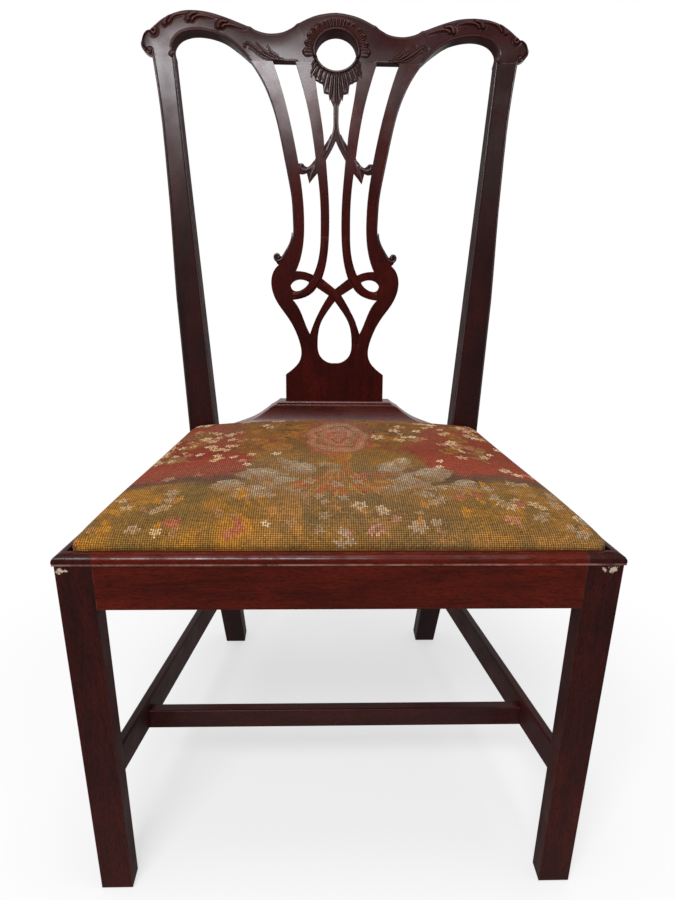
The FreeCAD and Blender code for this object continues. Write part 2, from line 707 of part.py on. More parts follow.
def screw(tip, direction):
    """A countersunk screw, from its head to its tip at the given point."""
    start = tip - direction * screw_length
    shank = Part.makeCylinder(screw_radius, screw_length, start, direction)
    head = Part.makeCone(screw_head_radius, screw_radius, screw_head_height, start, direction)
    return shank.fuse(head)


def screw_pocket(tip, direction):
    """The hole in the block's slanting face, down which the screw is driven."""
    start = tip - direction * screw_length
    return Part.makeCylinder(screw_head_radius + pocket_gap, block_leg, start, -direction)


def screw_lines():
    """Tips and directions: one screw through each right-hand block into each of its two rails."""
    height = ledge - block_drop - block_height / 2
    inward = Vector(math.cos(side_angle), math.sin(side_angle), 0)
    lines = []
    for wall, towards in ((rail_thickness, -1), (rear_rail_front, 1)):
        x = side_x(wall, rail_thickness) - screw_place
        lines.append((Vector(x, wall + towards * screw_bite, height), Vector(0, towards, 0)))
        y = wall - towards * screw_place
        lines.append((Vector(side_x(y, rail_thickness - screw_bite), y, height), inward))
    return lines


def on_both_sides(make):
    right = [make(tip, direction) for tip, direction in screw_lines()]
    return Part.makeCompound(right + [mirrored(one) for one in right])


# Drop-in seat. Its plan follows the well in the rails.

seat_front = rim_width + seat_gap
seat_rear = shoe_front - seat_gap
seat_side = rim_width + seat_gap
frame_bottom = ledge + cover_thickness
frame_top = frame_bottom + seat_frame_height
hessian_bottom = frame_top + 2 * web_thickness
dust_cover_inset = cover_thickness + flange_width + dust_cover_gap


def seat_plan(inset):
    y0 = seat_front + inset
    y1 = seat_rear - inset
    x0 = side_x(y0, seat_side + inset)
    x1 = side_x(y1, seat_side + inset)
    return [(x0, y0), (x1, y1), (-x1, y1), (-x0, y0)]


def seat_block(inset, bottom, top, rounded=False):
    solid = plan_prism(seat_plan(inset), bottom, top)
    if rounded:
        upright = [edge for edge in solid.Edges
                   if abs(edge.Vertexes[0].Z - edge.Vertexes[1].Z) > 0.5 * (top - bottom)]
        middle = (seat_front + seat_rear) / 2
        front = [edge for edge in upright if edge.Vertexes[0].Y < middle]
        solid = solid.makeFillet(seat_front_radius - inset, front)
        upright = [edge for edge in solid.Edges
                   if edge.Vertexes[0].Y > seat_rear - inset - 0.01 and edge.Length > 0.9 * (top - bottom)
                   and abs(edge.Vertexes[0].Z - edge.Vertexes[1].Z) > 0.5 * (top - bottom)]
        solid = solid.makeFillet(seat_rear_radius - inset, upright)
    return solid


def crown_section(y, inset, side, shoulder, crown):
    """A slice across the seat, a little wider than its plan: upright sides, two rounded shoulders
    and an arc over the top. Where the plan cuts it, it is as high as the side rise says."""
    half = side_x(y, seat_side + inset) + trim
    high = rail_top + shoulder - inset
    top = rail_top + crown - inset
    crown_radius = (half ** 2 + (top - high) ** 2) / (2 * (top - high))
    lean = math.asin(half / crown_radius)
    step = trim / math.cos(lean)
    low = rail_top + side - inset
    low -= step + math.sqrt(step ** 2 + 2 * step * (high - low) - trim ** 2)
    radius = (high - low) / math.cos(lean)
    meet = half - radius * (1 - math.sin(lean))
    turn = (math.pi / 2 - lean) / 2
    bend_x = half - radius * (1 - math.cos(turn))
    bend_z = low + radius * math.sin(turn)
    edges = [Part.LineSegment(Vector(half, y, rail_bottom), Vector(half, y, low)).toShape(),
             Part.Arc(Vector(half, y, low), Vector(bend_x, y, bend_z), Vector(meet, y, high)).toShape(),
             Part.Arc(Vector(meet, y, high), Vector(0, y, top), Vector(-meet, y, high)).toShape(),
             Part.Arc(Vector(-meet, y, high), Vector(-bend_x, y, bend_z), Vector(-half, y, low)).toShape(),
             Part.LineSegment(Vector(-half, y, low), Vector(-half, y, rail_bottom)).toShape(),
             Part.LineSegment(Vector(-half, y, rail_bottom), Vector(half, y, rail_bottom)).toShape()]
    return Part.Wire(edges)


def seat_form(inset, bottom):
    """The stuffed seat's outer form, drawn in all round by the inset and cut level underneath."""
    y0 = seat_front + inset - trim
    y1 = seat_rear - inset + trim
    length = y1 - y0
    slices = [(y0, side_rise - 2.5, shoulder_rise - 12.5, crown_rise - 28.0),
              (y0 + roll * 0.4, side_rise - 1.8, shoulder_rise - 8.0, crown_rise - 19.5),
              (y0 + roll, side_rise - 1.0, shoulder_rise - 4.5, crown_rise - 12.5),
              (y0 + roll * 2, side_rise - 0.5, shoulder_rise - 2.0, crown_rise - 7.0),
              (y0 + length * 0.3, side_rise, shoulder_rise, crown_rise - 2.5),
              (y0 + length * 0.5, side_rise, shoulder_rise, crown_rise),
              (y0 + length * 0.7, side_rise, shoulder_rise + 0.7, crown_rise - 0.6),
              (y1 - roll * 2, side_rise, shoulder_rise + 1.7, crown_rise - 2.0),
              (y1 - roll, side_rise, shoulder_rise + 2.2, crown_rise - 4.5),
              (y1 - roll * 0.4, side_rise - 0.8, shoulder_rise - 0.5, crown_rise - 9.5),
              (y1, side_rise - 2.0, shoulder_rise - 7.5, crown_rise - 19.5)]
    form = Part.makeLoft([crown_section(y, inset, *rises) for y, *rises in slices], True, False)
    return form.common(seat_block(inset, bottom, reach, True))


def needlework_cover():
    outer = seat_form(0.0, ledge)
    inner = seat_form(cover_thickness, frame_bottom)
    window = seat_block(cover_thickness + flange_width, ledge - 1.0, frame_bottom + 1.0)
    return outer.cut(inner).cut(window).cut(Part.makeCompound(tacks()))


def seat_stuffing():
    """The pad lies on the frame's edges, round the webbing and over the hessian."""
    pad = seat_form(cover_thickness, frame_top)
    return pad.cut(seat_block(hessian_inset, frame_top - 1.0, hessian_bottom + hessian_thickness))


def frame_ring():
    """The frame as one ring, before it is parted into its four rails."""
    ring = seat_block(cover_thickness, frame_bottom, frame_top, True)
    window = seat_block(cover_thickness + seat_frame_width, frame_bottom - 1.0, frame_top + 1.0)
    return ring.cut(window)


def seat_frame_parts():
    ring = frame_ring().cut(Part.makeCompound(tacks()))
    y0 = seat_front + cover_thickness + seat_frame_width
    y1 = seat_rear - cover_thickness - seat_frame_width
    low = frame_bottom - 1.0
    high = frame_top + 1.0
    front = ring.common(block(-reach, reach, -reach, y0, low, high))
    rear = ring.common(block(-reach, reach, y1, reach, low, high))
    middle = ring.common(block(-reach, reach, y0, y1, low, high))
    right, left = sorted(middle.Solids, key=lambda solid: -solid.CenterOfMass.x)
    return {"seat_frame_front": front, "seat_frame_rear": rear,
            "seat_frame_left": left, "seat_frame_right": right}


def webbing_lengthwise():
    straps = []
    y0 = seat_front + web_inset
    y1 = seat_rear - web_inset
    pitch = (2 * side_x(y1, seat_side + web_inset) - web_width) / 3
    for number in range(4):
        x = (number - 1.5) * pitch
        straps.append(block(x - web_width / 2, x + web_width / 2, y0, y1, frame_top, frame_top + web_thickness))
    return straps


def webbing_crosswise():
    straps = []
    count = 4
    y0 = seat_front + web_inset
    y1 = seat_rear - web_inset
    pitch = (y1 - y0 - web_width) / (count - 1)
    low = frame_top + web_thickness
    for number in range(count):
        front = y0 + number * pitch
        back = front + web_width
        plan = [(side_x(front, seat_side + web_inset), front), (side_x(back, seat_side + web_inset), back)]
        plan += [(-x, y) for x, y in reversed(plan)]
        straps.append(plan_prism(plan, low, low + web_thickness))
    return straps


def tack_ring(inset, head_top):
    """A row of tacks along all four sides, heads down."""
    plan = seat_plan(inset)
    made = []
    for (xa, ya), (xb, yb) in zip(plan, plan[1:] + plan[:1]):
        length = math.hypot(xb - xa, yb - ya)
        count = max(2, round(length / tack_spacing))
        for number in range(count):
            share = (number + 0.5) / count
            place = Vector(xa + (xb - xa) * share, ya + (yb - ya) * share, head_top)
            head = Part.makeCylinder(tack_head_radius, tack_head_height, place - Vector(0, 0, tack_head_height))
            shank = Part.makeCylinder(tack_shank_radius, tack_shank_length, place)
            made.append(head.fuse(shank).removeSplitter())
    return made


def tacks():
    cover_row = tack_ring(cover_thickness + cover_tack_inset, ledge)
    dust_row = tack_ring(dust_cover_inset + dust_tack_inset, frame_bottom - dust_cover_thickness)
    return cover_row + dust_row


def dust_cover():
    return seat_block(dust_cover_inset, frame_bottom - dust_cover_thickness, frame_bottom)


def save(name, shape):
    """Writes one piece, moved so that the chair's middle stands on the origin."""
    moved = shape.copy()
    moved.translate(Vector(0, -centre_shift, 0))
    moved.exportStep(os.path.join("parts", name + ".step"))
    solids = moved.Solids
    volume = sum(solid.Volume for solid in solids)
    print(f"{name}: {len(solids)} solid(s), {volume / 1000:.1f} cm3, valid {moved.isValid()}")


def main():
    os.makedirs("parts", exist_ok=True)
    screw_group = on_both_sides(screw)
    pockets = on_both_sides(screw_pocket)

    leg = front_leg().cut(front_rail_tenon(1, glue_gap)).cut(side_rail_tenons(glue_gap))
    leg = leg.cut(side_stretcher_tenons(glue_gap))
    save("front_leg_right", leg)
    save("front_leg_left", mirrored(leg))

    post = back_post_blank().cut(side_rail_tenons(glue_gap)).cut(rear_rail_tenon(1, glue_gap))
    post = post.cut(side_stretcher_tenons(glue_gap)).fuse(stile_tenon(0.0)).removeSplitter()
    save("back_post_right", post)
    save("back_post_left", mirrored(post))

    save("front_rail", front_rail().cut(screw_group))
    save("rear_rail", rear_rail().cut(screw_group))
    rail = side_rail().cut(screw_group)
    save("side_rail_right", rail)
    save("side_rail_left", mirrored(rail))

    stretcher = side_stretcher().cut(cross_stretcher_tenons(glue_gap))
    save("side_stretcher_right", stretcher)
    save("side_stretcher_left", mirrored(stretcher))
    save("cross_stretcher", cross_stretcher())

    save("splat_shoe", shoe())
    save("splat", splat())
    save("crest_rail", crest_rail())

    for name, front in (("front", True), ("rear", False)):
        solid = corner_block(front).cut(screw_group).cut(pockets)
        save("corner_block_" + name + "_right", solid)
        save("corner_block_" + name + "_left", mirrored(solid))
    save("corner_block_screws", screw_group)

    for name, solid in seat_frame_parts().items():
        save(name, solid)
    save("webbing_front_to_back", Part.makeCompound(webbing_lengthwise()))
    save("webbing_side_to_side", Part.makeCompound(webbing_crosswise()))
    save("seat_hessian", seat_block(hessian_inset, hessian_bottom, hessian_bottom + hessian_thickness))
    save("seat_stuffing", seat_stuffing())
    save("needlework_cover", needlework_cover())
    tack_group = Part.makeCompound(tacks())
    save("dust_cover", dust_cover().cut(tack_group))
    save("seat_tacks", tack_group)


main()
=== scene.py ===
# %% [markdown]
# # A carved mahogany side chair
# The chair's measured solids come in as a fixed frame. They already have the right size, so this
# lesson is about looks: polished wood, carving, and a seat worked in wool on canvas.

# %% Load the frame
import bpy, math, random
import numpy as np
from mathutils import Matrix, Vector


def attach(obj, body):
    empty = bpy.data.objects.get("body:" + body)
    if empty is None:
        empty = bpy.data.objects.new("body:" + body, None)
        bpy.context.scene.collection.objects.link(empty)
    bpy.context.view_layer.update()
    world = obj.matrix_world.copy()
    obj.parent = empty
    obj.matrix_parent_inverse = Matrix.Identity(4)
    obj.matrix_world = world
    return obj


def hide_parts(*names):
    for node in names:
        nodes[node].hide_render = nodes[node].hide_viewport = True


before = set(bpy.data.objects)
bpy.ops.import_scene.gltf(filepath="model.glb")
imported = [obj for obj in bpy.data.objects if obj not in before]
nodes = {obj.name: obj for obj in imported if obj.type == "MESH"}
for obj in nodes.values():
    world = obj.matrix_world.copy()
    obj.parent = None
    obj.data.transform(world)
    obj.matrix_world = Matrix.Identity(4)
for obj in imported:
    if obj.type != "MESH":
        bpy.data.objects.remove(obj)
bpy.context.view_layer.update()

# %% [markdown]
# ## Sizes that several pieces share
# The drawings below are in millimetres, as on a workshop drawing, and the room is in metres. Depths
# are drawn from the front of the front legs, but the room's zero lies under the middle of the chair.

# %% Shared sizes
chair_middle = 0.2752                # from the front legs' face to the middle of the chair
chair_middle_mm = chair_middle * 1000
rail_top_mm, seat_depth_mm = 435, 395
front_half, back_half = 0.275, 0.2075           # half the chair's width over the legs and over the posts
# The side rails run in by this much for each metre of depth.
side_slope = (front_half - back_half) / (seat_depth_mm / 1000)
side_turn = math.atan(side_slope)
rake = 0.1661                        # the back leans by this much for each metre of height
print("side rails turn in by", round(math.degrees(side_turn), 1), "degrees")

# %% [markdown]
# ## Camera
# The picture was taken standing close in front, looking down on the seat, so the legs narrow towards
# the floor. A camera is placed by its eye point and three turns. Its lens follows from how fast the
# lines run together, and a small shift puts the middle of the lens where it was in the picture.

# %% Camera
eye = Vector((-0.02437, -0.91181, 0.75319))
yaw, pitch, roll = -0.0367, 0.3934, -0.0149
level = Vector((math.cos(yaw), math.sin(yaw), 0))
ahead = Vector((-math.sin(yaw), math.cos(yaw), 0))
forward = ahead * math.cos(pitch) + Vector((0, 0, -math.sin(pitch)))
downward = -ahead * math.sin(pitch) + Vector((0, 0, -math.cos(pitch)))
right = level * math.cos(roll) + downward * math.sin(roll)
down = downward * math.cos(roll) - level * math.sin(roll)
lens = bpy.data.cameras.new("camera")
lens.lens, lens.shift_x, lens.shift_y = 29.69, -0.0055, 0.0588
camera = bpy.data.objects.new("camera", lens)
bpy.context.scene.collection.objects.link(camera)
turned_axes = Matrix((right, -down, -forward)).transposed()
camera.matrix_world = Matrix.Translation(eye) @ turned_axes.to_4x4()
bpy.context.scene.camera = camera
bpy.context.scene.view_settings.view_transform = "Standard"
print("camera looks down", round(math.degrees(pitch), 1), "degrees")

# %% [markdown]
# ## Node helpers
# A procedural material is a chain of small nodes. One helper adds any node and fills its inputs. The
# others are shorthand for the few that are used again and again: sums, noise, a stretched or turned
# place, a value that fades from one level to another, and one colour laid over another. Each finish
# on the chair ends in one shader, which takes what its chain of nodes has made.

# %% Helpers for nodes
def new_material(name):
    material = bpy.data.materials.new(name)
    material.use_nodes = True
    tree = material.node_tree
    tree.nodes.clear()
    return material, tree


def node(tree, kind, props=None, **inputs):
    """Adds a node. Input names use _ for spaces; i and a number name an input by its place."""
    made = tree.nodes.new("ShaderNode" + kind)
    for name, value in (props or {}).items():
        setattr(made, name, value)
    for name, value in inputs.items():
        by_place = name[0] == "i" and name[1:].isdigit()
        socket = made.inputs[int(name[1:]) if by_place else name.replace("_", " ")]
        if isinstance(value, bpy.types.NodeSocket):
            tree.links.new(value, socket)
        else:
            socket.default_value = value
    return made


def maths(tree, operation, a, b=0.0, c=0.0, clamp=False):
    return node(tree, "Math", {"operation": operation, "use_clamp": clamp}, i0=a, i1=b, i2=c).outputs[0]


def times(tree, a, b):
    return maths(tree, "MULTIPLY", a, b)


def plus(tree, a, b):
    return maths(tree, "ADD", a, b)


def object_place(tree):
    return node(tree, "TexCoord").outputs["Object"]


def mapped(tree, place, scale=(1, 1, 1), turn=(0, 0, 0), move=(0, 0, 0)):
    return node(tree, "Mapping", Vector=place, Scale=scale, Rotation=turn, Location=move).outputs[0]


def noise(tree, place, scale, detail=2.0, roughness=0.5, distortion=0.0):
    return node(tree, "TexNoise", Vector=place, Scale=scale, Detail=detail, Roughness=roughness,
                Distortion=distortion).outputs[0]


def faded(tree, value, low, high, start=0.0, end=1.0, smooth=False):
    """Start at low, end at high, and in between a straight or a smooth slope."""
    kind = {"interpolation_type": "SMOOTHSTEP" if smooth else "LINEAR"}
    return node(tree, "MapRange", kind, Value=value, From_Min=low, From_Max=high, To_Min=start,
                To_Max=end).outputs[0]


print("node helpers ready")


# %% Helpers for colours
def srgb(red, green, blue):
    """A colour as a screen shows it, 0 to 255, turned into the light it stands for."""
    return tuple(c / 12.92 if c <= 0.04045 else ((c + 0.055) / 1.055) ** 2.4
                 for c in (red / 255, green / 255, blue / 255))


def ramp(tree, value, *stops):
    """A colour ramp: each stop is a place and a colour or a grey."""
    made = node(tree, "ValToRGB", Fac=value)
    while len(made.color_ramp.elements) < len(stops):
        made.color_ramp.elements.new(0.5)
    for element, (place, colour) in zip(made.color_ramp.elements, stops):
        element.position = place
        element.color = (*colour, 1) if isinstance(colour, tuple) else (colour, colour, colour, 1)
    return made.outputs[0]


def mix(tree, factor, a, b, blend="MIX"):
    made = node(tree, "Mix", {"data_type": "RGBA", "blend_type": blend})
    for socket, value in ((made.inputs[0], factor), (made.inputs[6], a), (made.inputs[7], b)):
        if isinstance(value, bpy.types.NodeSocket):
            tree.links.new(value, socket)
        else:
            socket.default_value = value if isinstance(value, float) else (*value, 1)
    return made.outputs[2]


def laid_over(tree, colour, other, where, strength):
    """Another colour shows through where the mask is bright, at most this strongly."""
    return mix(tree, times(tree, where, strength), colour, other)


def surface(tree, **inputs):
    """The material's one shader, joined to its output."""
    shader = node(tree, "BsdfPrincipled", **inputs)
    node(tree, "OutputMaterial", Surface=shader.outputs[0])
    return shader


print("colour helpers ready")

# %% [markdown]
# ## Floor, backdrop and light
# The studio is pale and plain. Near the chair the floor is an ordinary pale surface that takes the
# soft shadow; further off it turns into plain white, as does the world behind it, for everything that
# looks at it directly or in a reflection. The lamps are large, so shadows and highlights stay soft.

# %% Floor
def looked_at(tree):
    """1 for a ray that shows the background itself, 0 for a ray that only brings its light."""
    rays = node(tree, "LightPath").outputs
    direct = plus(tree, rays["Is Camera Ray"], rays["Is Glossy Ray"])
    return maths(tree, "ADD", direct, rays["Is Transmission Ray"], clamp=True)


bpy.ops.mesh.primitive_plane_add(size=40, location=(0, 0, 0))
floor = bpy.context.object
floor.name = "studio_floor"
floor_paint, tree = new_material("studio_floor")
distance = node(tree, "VectorMath", {"operation": "LENGTH"}, i0=object_place(tree)).outputs["Value"]
far = faded(tree, distance, 0.30, 0.80, 0.62, 1.0, smooth=True)
white = node(tree, "Emission", Color=(1, 1, 1, 1), Strength=1.0).outputs[0]
plain = node(tree, "BsdfDiffuse", Color=(0.86, 0.86, 0.86, 1)).outputs[0]
both = node(tree, "MixShader", Fac=times(tree, looked_at(tree), far), i1=plain, i2=white)
node(tree, "OutputMaterial", Surface=both.outputs[0])
floor.data.materials.append(floor_paint)
print("floor laid")

# %% World and lamps
world = bpy.data.worlds.new("studio")
bpy.context.scene.world = world
world.use_nodes = True
tree = world.node_tree
tree.nodes.clear()
strength = faded(tree, looked_at(tree), 0.0, 1.0, 0.40, 1.0)
node(tree, "OutputWorld", Surface=node(tree, "Background", Color=(1, 1, 1, 1), Strength=strength).outputs[0])


def soft_lamp(name, place, aim, width, height, watts):
    lamp = bpy.data.lights.new(name, "AREA")
    lamp.shape, lamp.size, lamp.size_y, lamp.energy = "RECTANGLE", width, height, watts
    lamp.color = (0.985, 0.965, 1.0)
    holder = bpy.data.objects.new(name, lamp)
    bpy.context.scene.collection.objects.link(holder)
    holder.location = place
    holder.rotation_euler = (Vector(aim) - Vector(place)).to_track_quat("-Z", "Y").to_euler()


soft_lamp("window_light", (-0.50, -1.75, 2.05), (0, 0.1, 0.75), 1.0, 0.55, 44)
soft_lamp("ceiling_light", (0.1, -0.3, 3.0), (0, 0, 0), 1.5, 1.0, 30)

# %% [markdown]
# ## Mahogany
# Old mahogany is a deep red-brown under a worn, hand-rubbed polish. Its fibres run along each piece,
# so a noise is squeezed across the grain and stretched along it: once wide for the slow figure, once
# fine for the fibres, and once as short dark pores. Each kind of mark is a short function of its own,
# which takes the colour so far and gives it back with the mark laid over it.

# %% Mahogany: grain
# The turn that lays a noise along the fibres of a piece.
GRAIN = {"X": (0, 0, 0), "Y": (0, 0, math.pi / 2), "Z": (0, math.pi / 2, 0)}


def grain_colour(tree, place, turned, deep, warm, flame):
    """The wood's own colour, and the fibres and pores that also roughen it."""
    dark = tuple(c * 0.45 for c in deep)
    figure = noise(tree, mapped(tree, turned, (4.5, 34, 34)), 1.0, 5.0, 0.6, 0.7)
    fibres = noise(tree, mapped(tree, turned, (36, 760, 760)), 1.0, 3.0, 0.6)
    pores = noise(tree, mapped(tree, turned, (210, 1150, 1150)), 1.0, 1.0)
    streaks = plus(tree, times(tree, figure, 0.62), times(tree, fibres, 0.38))
    colour = ramp(tree, streaks, (0.34, deep), (0.66, warm))
    if flame:                        # the figure that a fine board shows, running slantwise across it
        slanted = mapped(tree, place, (38, 8, 7), (0, 0.7, 0))
        bands = ramp(tree, noise(tree, slanted, 1.0, 3.0, distortion=0.9), (0.45, 0.0), (0.62, 1.0))
        colour = laid_over(tree, colour, deep, bands, 0.5)
    colour = laid_over(tree, colour, dark, ramp(tree, pores, (0.36, 1.0), (0.47, 0.0)), 0.62)
    stain = noise(tree, place, 9.0, 4.0, 0.65)
    colour = laid_over(tree, colour, dark, ramp(tree, stain, (0.42, 0.0), (0.7, 1.0)), 0.45)
    return colour, fibres, pores


print("grain can run along", ", ".join(GRAIN))

# %% [markdown]
# A bevel node rounds the arrises in the shading and, set against the true normal, shows where they
# are, so that a paler red can be laid there: partly rubbed polish, partly a painted highlight. Carving
# gets painted shade in its hollows and a paler red on its crests, again partly rubbed polish and partly
# a painted highlight. The moulding's lower lip gets a thin painted highlight, and small flakes are lost
# below it.

# %% Mahogany: wear, painted shade and painted highlights
def arris_highlight_and_wear(tree, colour, rounded, normal, scuff):
    """Where the rounded normal leaves the true one there is an arris. A paler red is laid on it here and
    there: partly rubbed wear, partly a painted highlight.
    """
    turn = node(tree, "VectorMath", {"operation": "DOT_PRODUCT"}, i0=rounded, i1=normal).outputs["Value"]
    arris = ramp(tree, turn, (0.80, 1.0), (0.985, 0.0))
    # painted highlight and rubbed wear: a paler red on the arrises, broken up by the scuff noise
    rubbed = times(tree, arris, ramp(tree, scuff, (0.45, 0.12), (0.68, 1.0)))
    return laid_over(tree, colour, srgb(140, 78, 60), rubbed, 0.5)


def carving_shade_and_highlight(tree, colour):
    """Painted shade darkens the hollows, and the crests get a paler red: partly a painted highlight,
    partly rubbed polish.
    """
    # painted highlight, partly rubbed polish: the sharp crests are made a paler red
    crests = ramp(tree, node(tree, "NewGeometry").outputs["Pointiness"], (0.525, 0.0), (0.60, 1.0))
    colour = laid_over(tree, colour, srgb(140, 80, 70), crests, 0.5)
    # painted shade: ambient occlusion darkens the hollows almost to black
    hollow = node(tree, "AmbientOcclusion", {"samples": 8}, Distance=0.005).outputs["AO"]
    return mix(tree, ramp(tree, hollow, (0.30, 0.95), (0.84, 0.0)), colour, srgb(10, 5, 6))


def flaked_corners(tree, colour, place):
    """The corners under the moulding have lost their polish in small flakes."""
    specks = noise(tree, place, 380.0, 3.0, 0.7)
    for x, reach in ((-0.2700, 0.0062), (0.2640, 0.0085), (-0.2635, 0.0034), (0.2570, 0.0050)):
        corner = (x, -chair_middle, 0.4185)
        off = node(tree, "VectorMath", {"operation": "DISTANCE"}, i0=place, i1=corner).outputs["Value"]
        flakes = plus(tree, maths(tree, "DIVIDE", off, reach), times(tree, specks, 2.4))
        colour = mix(tree, faded(tree, flakes, 1.55, 1.7, 1.0, 0.0), colour, srgb(176, 158, 138))
    return colour


def painted_lip_highlight(tree, colour, height, scuff):
    """A painted highlight: a thin pale line along the lower lip of the moulding, broken here and there."""
    off = maths(tree, "ABSOLUTE", maths(tree, "SUBTRACT", height, 0.4248))
    lip = faded(tree, off, 0.0006, 0.0013, 0.62, 0.0)
    return laid_over(tree, colour, srgb(156, 112, 102), lip, ramp(tree, scuff, (0.36, 0.15), (0.58, 1.0)))


print("wear ready: arrises, carving, corners, lip")

# %% [markdown]
# The polish is a coat over the wood. It lasts high up, where no hand or duster comes, and on what
# faces the room. A cloudy noise breaks it up, so that the light lies on it in patches.

# %% Mahogany: polish
def facing_room(tree, normal, place):
    """1 on faces that look forwards, upwards or outwards, 0 on those turned inwards."""
    outward = times(tree, times(tree, normal[0], place[0]), 8.0)
    forwards = times(tree, normal[1], -1.0)
    show = maths(tree, "MAXIMUM", maths(tree, "MAXIMUM", forwards, outward), normal[2])
    return faded(tree, show, 0.35, 0.85)


def coat_of_polish(tree, place, spot, normal, shown, scuff, low, high, amount, fall):
    """The coat grows from low to high. Fall is where it gives way again, if it does."""
    shine = faded(tree, spot[2], low, high, 0.0, amount, smooth=True)
    patchy = times(tree, ramp(tree, noise(tree, place, 13.0, 4.0, 0.6), (0.38, 0.3), (0.60, 1.0)), shown)
    if fall == "moulding":           # only the slope that faces half upwards, and there in scuffed streaks
        slope = ramp(tree, normal[2], (0.40, 0.0), (0.56, 1.0), (0.72, 1.0), (0.88, 0.1))
        patchy = times(tree, times(tree, patchy, slope), ramp(tree, scuff, (0.38, 0.25), (0.60, 1.0)))
    elif fall:                       # the rounded top of the back turns away, sooner in the middle
        sideways = maths(tree, "ABSOLUTE", spot[0])
        sooner = faded(tree, sideways, 0.12, 0.2, 0.008, -0.006, smooth=True)
        height = plus(tree, spot[2], sooner)
        patchy = times(tree, patchy, faded(tree, height, fall, fall + 0.028, 1.0, 0.32, smooth=True))
    return times(tree, shine, patchy)


print("polish ready")


# %% Mahogany: the whole material
def mahogany(name, grain="Z", deep=srgb(32, 9, 9), warm=srgb(66, 20, 14), rough=0.32, gloss=0.12, carved=False,
             tilt=0.0, flame=False, polished=None, chips=False):
    material, tree = new_material(name)
    place = object_place(tree)
    turned = mapped(tree, place, turn=GRAIN[grain])
    turned = mapped(tree, turned, turn=(0, 0, tilt), move=(len(name) * 0.37, 0.2, 0.1))
    colour, fibres, pores = grain_colour(tree, place, turned, deep, warm, flame)
    rounded = node(tree, "Bevel", {"samples": 6}, Radius=0.0014).outputs[0]
    normal = node(tree, "NewGeometry").outputs["Normal"]
    facing, spot = (node(tree, "SeparateXYZ", Vector=v).outputs for v in (normal, place))
    scuff = noise(tree, place, 55.0, 4.0, 0.7)
    # painted highlights and rubbed wear on the arrises
    colour = arris_highlight_and_wear(tree, colour, rounded, normal, scuff)
    # in carving: painted shade in the hollows, painted highlights and rubbed polish on the crests
    if carved:
        colour = carving_shade_and_highlight(tree, colour)
    if chips:
        colour = flaked_corners(tree, colour, place)
    # on the moulding: a painted highlight along its lower lip
    if polished and polished[3] == "moulding":
        colour = painted_lip_highlight(tree, colour, spot[2], scuff)
    shown = facing_room(tree, facing, spot)
    haze = faded(tree, noise(tree, place, 28.0, 5.0, 0.62), 0.3, 0.7, rough - 0.07, rough + 0.09)
    dull_inside = times(tree, maths(tree, "SUBTRACT", 1.0, shown), 0.34)
    relief = plus(tree, times(tree, fibres, 0.5), times(tree, pores, 0.5))
    bump = node(tree, "Bump", Height=relief, Normal=rounded, Strength=0.10, Distance=0.0004).outputs[0]
    shader = surface(tree, Base_Color=colour, Roughness=plus(tree, dull_inside, haze), Normal=bump,
                     Specular_IOR_Level=gloss, Coat_Roughness=0.24)
    if polished:
        coat = coat_of_polish(tree, place, spot, facing, shown, scuff, *polished)
        tree.links.new(coat, shader.inputs["Coat Weight"])
    return material


print("mahogany ready")

# %% [markdown]
# The pieces differ in colour, because each board was cut from another tree and has seen other light:
# the front rail and the shoe are the reddest, the posts nearly black. So each kind of piece gets its
# own two colours, the way its fibres run, and how much polish is left between which heights.

# %% Mahogany: paint the pieces
def paint(name, material):
    """A CAD node keeps its shape and gets a finer material in its own slots."""
    mesh = nodes[name].data
    mesh.materials.clear()
    mesh.materials.append(material)


moulding = (0.4215, 0.4245, 0.8, "moulding")    # the moulding along the top of the rails gets polish in streaks, and a painted highlight on its lip
wood = {
    "post": mahogany("mahogany_posts", "Z", srgb(24, 7, 7), srgb(50, 14, 11), gloss=0.08,
                     polished=(0.66, 0.94, 0.56, None)),
    "leg": mahogany("mahogany_legs", "Z", srgb(28, 9, 8), srgb(66, 19, 13), gloss=0.06,
                    polished=moulding, chips=True),
    "front": mahogany("mahogany_front_rail", "X", srgb(50, 10, 4), srgb(96, 25, 9), gloss=0.06,
                      polished=moulding),
    "cross": mahogany("mahogany_cross_stretcher", "X"),
    "left": mahogany("mahogany_left_side", "Y", tilt=side_turn, polished=moulding),
    "right": mahogany("mahogany_right_side", "Y", tilt=-side_turn, polished=moulding),
    "splat": mahogany("mahogany_splat", "Z", srgb(31, 4, 3), srgb(72, 15, 8), gloss=0.04, flame=True,
                      polished=(0.74, 0.91, 0.74, None)),
    "shoe": mahogany("mahogany_shoe", "X", srgb(58, 20, 18), srgb(104, 48, 42), gloss=0.45),
    "crest": mahogany("mahogany_crest_rail", "X", srgb(28, 8, 8), srgb(56, 17, 13), rough=0.36, gloss=0.05,
                      carved=True, polished=(0.62, 0.90, 0.56, 0.918)),
}
MADE_OF = {"front_leg_left": "leg", "front_leg_right": "leg", "front_rail": "front", "rear_rail": "cross",
           "back_post_left": "post", "back_post_right": "post", "side_rail_left": "left",
           "side_rail_right": "right", "side_stretcher_left": "left", "side_stretcher_right": "right",
           "cross_stretcher": "cross", "splat_shoe": "shoe", "splat": "splat", "crest_rail": "crest"}
for name, kind in MADE_OF.items():
    paint(name, wood[kind])
print("mahogany pieces painted:", len(MADE_OF))

# %% [markdown]
# ## The seat's needlework cover
# The seat is a crowned pad with a piece of canvas work pulled over it and tacked underneath. Canvas
# is a straight grid of threads, so the cover could be a smooth cushion with a printed pattern, or a
# real grid: one small face for each stitch, wrapped over the pad. The grid is used here, because then
# the stitches stay square and parallel, run down over the edges, and each can have its own wool.

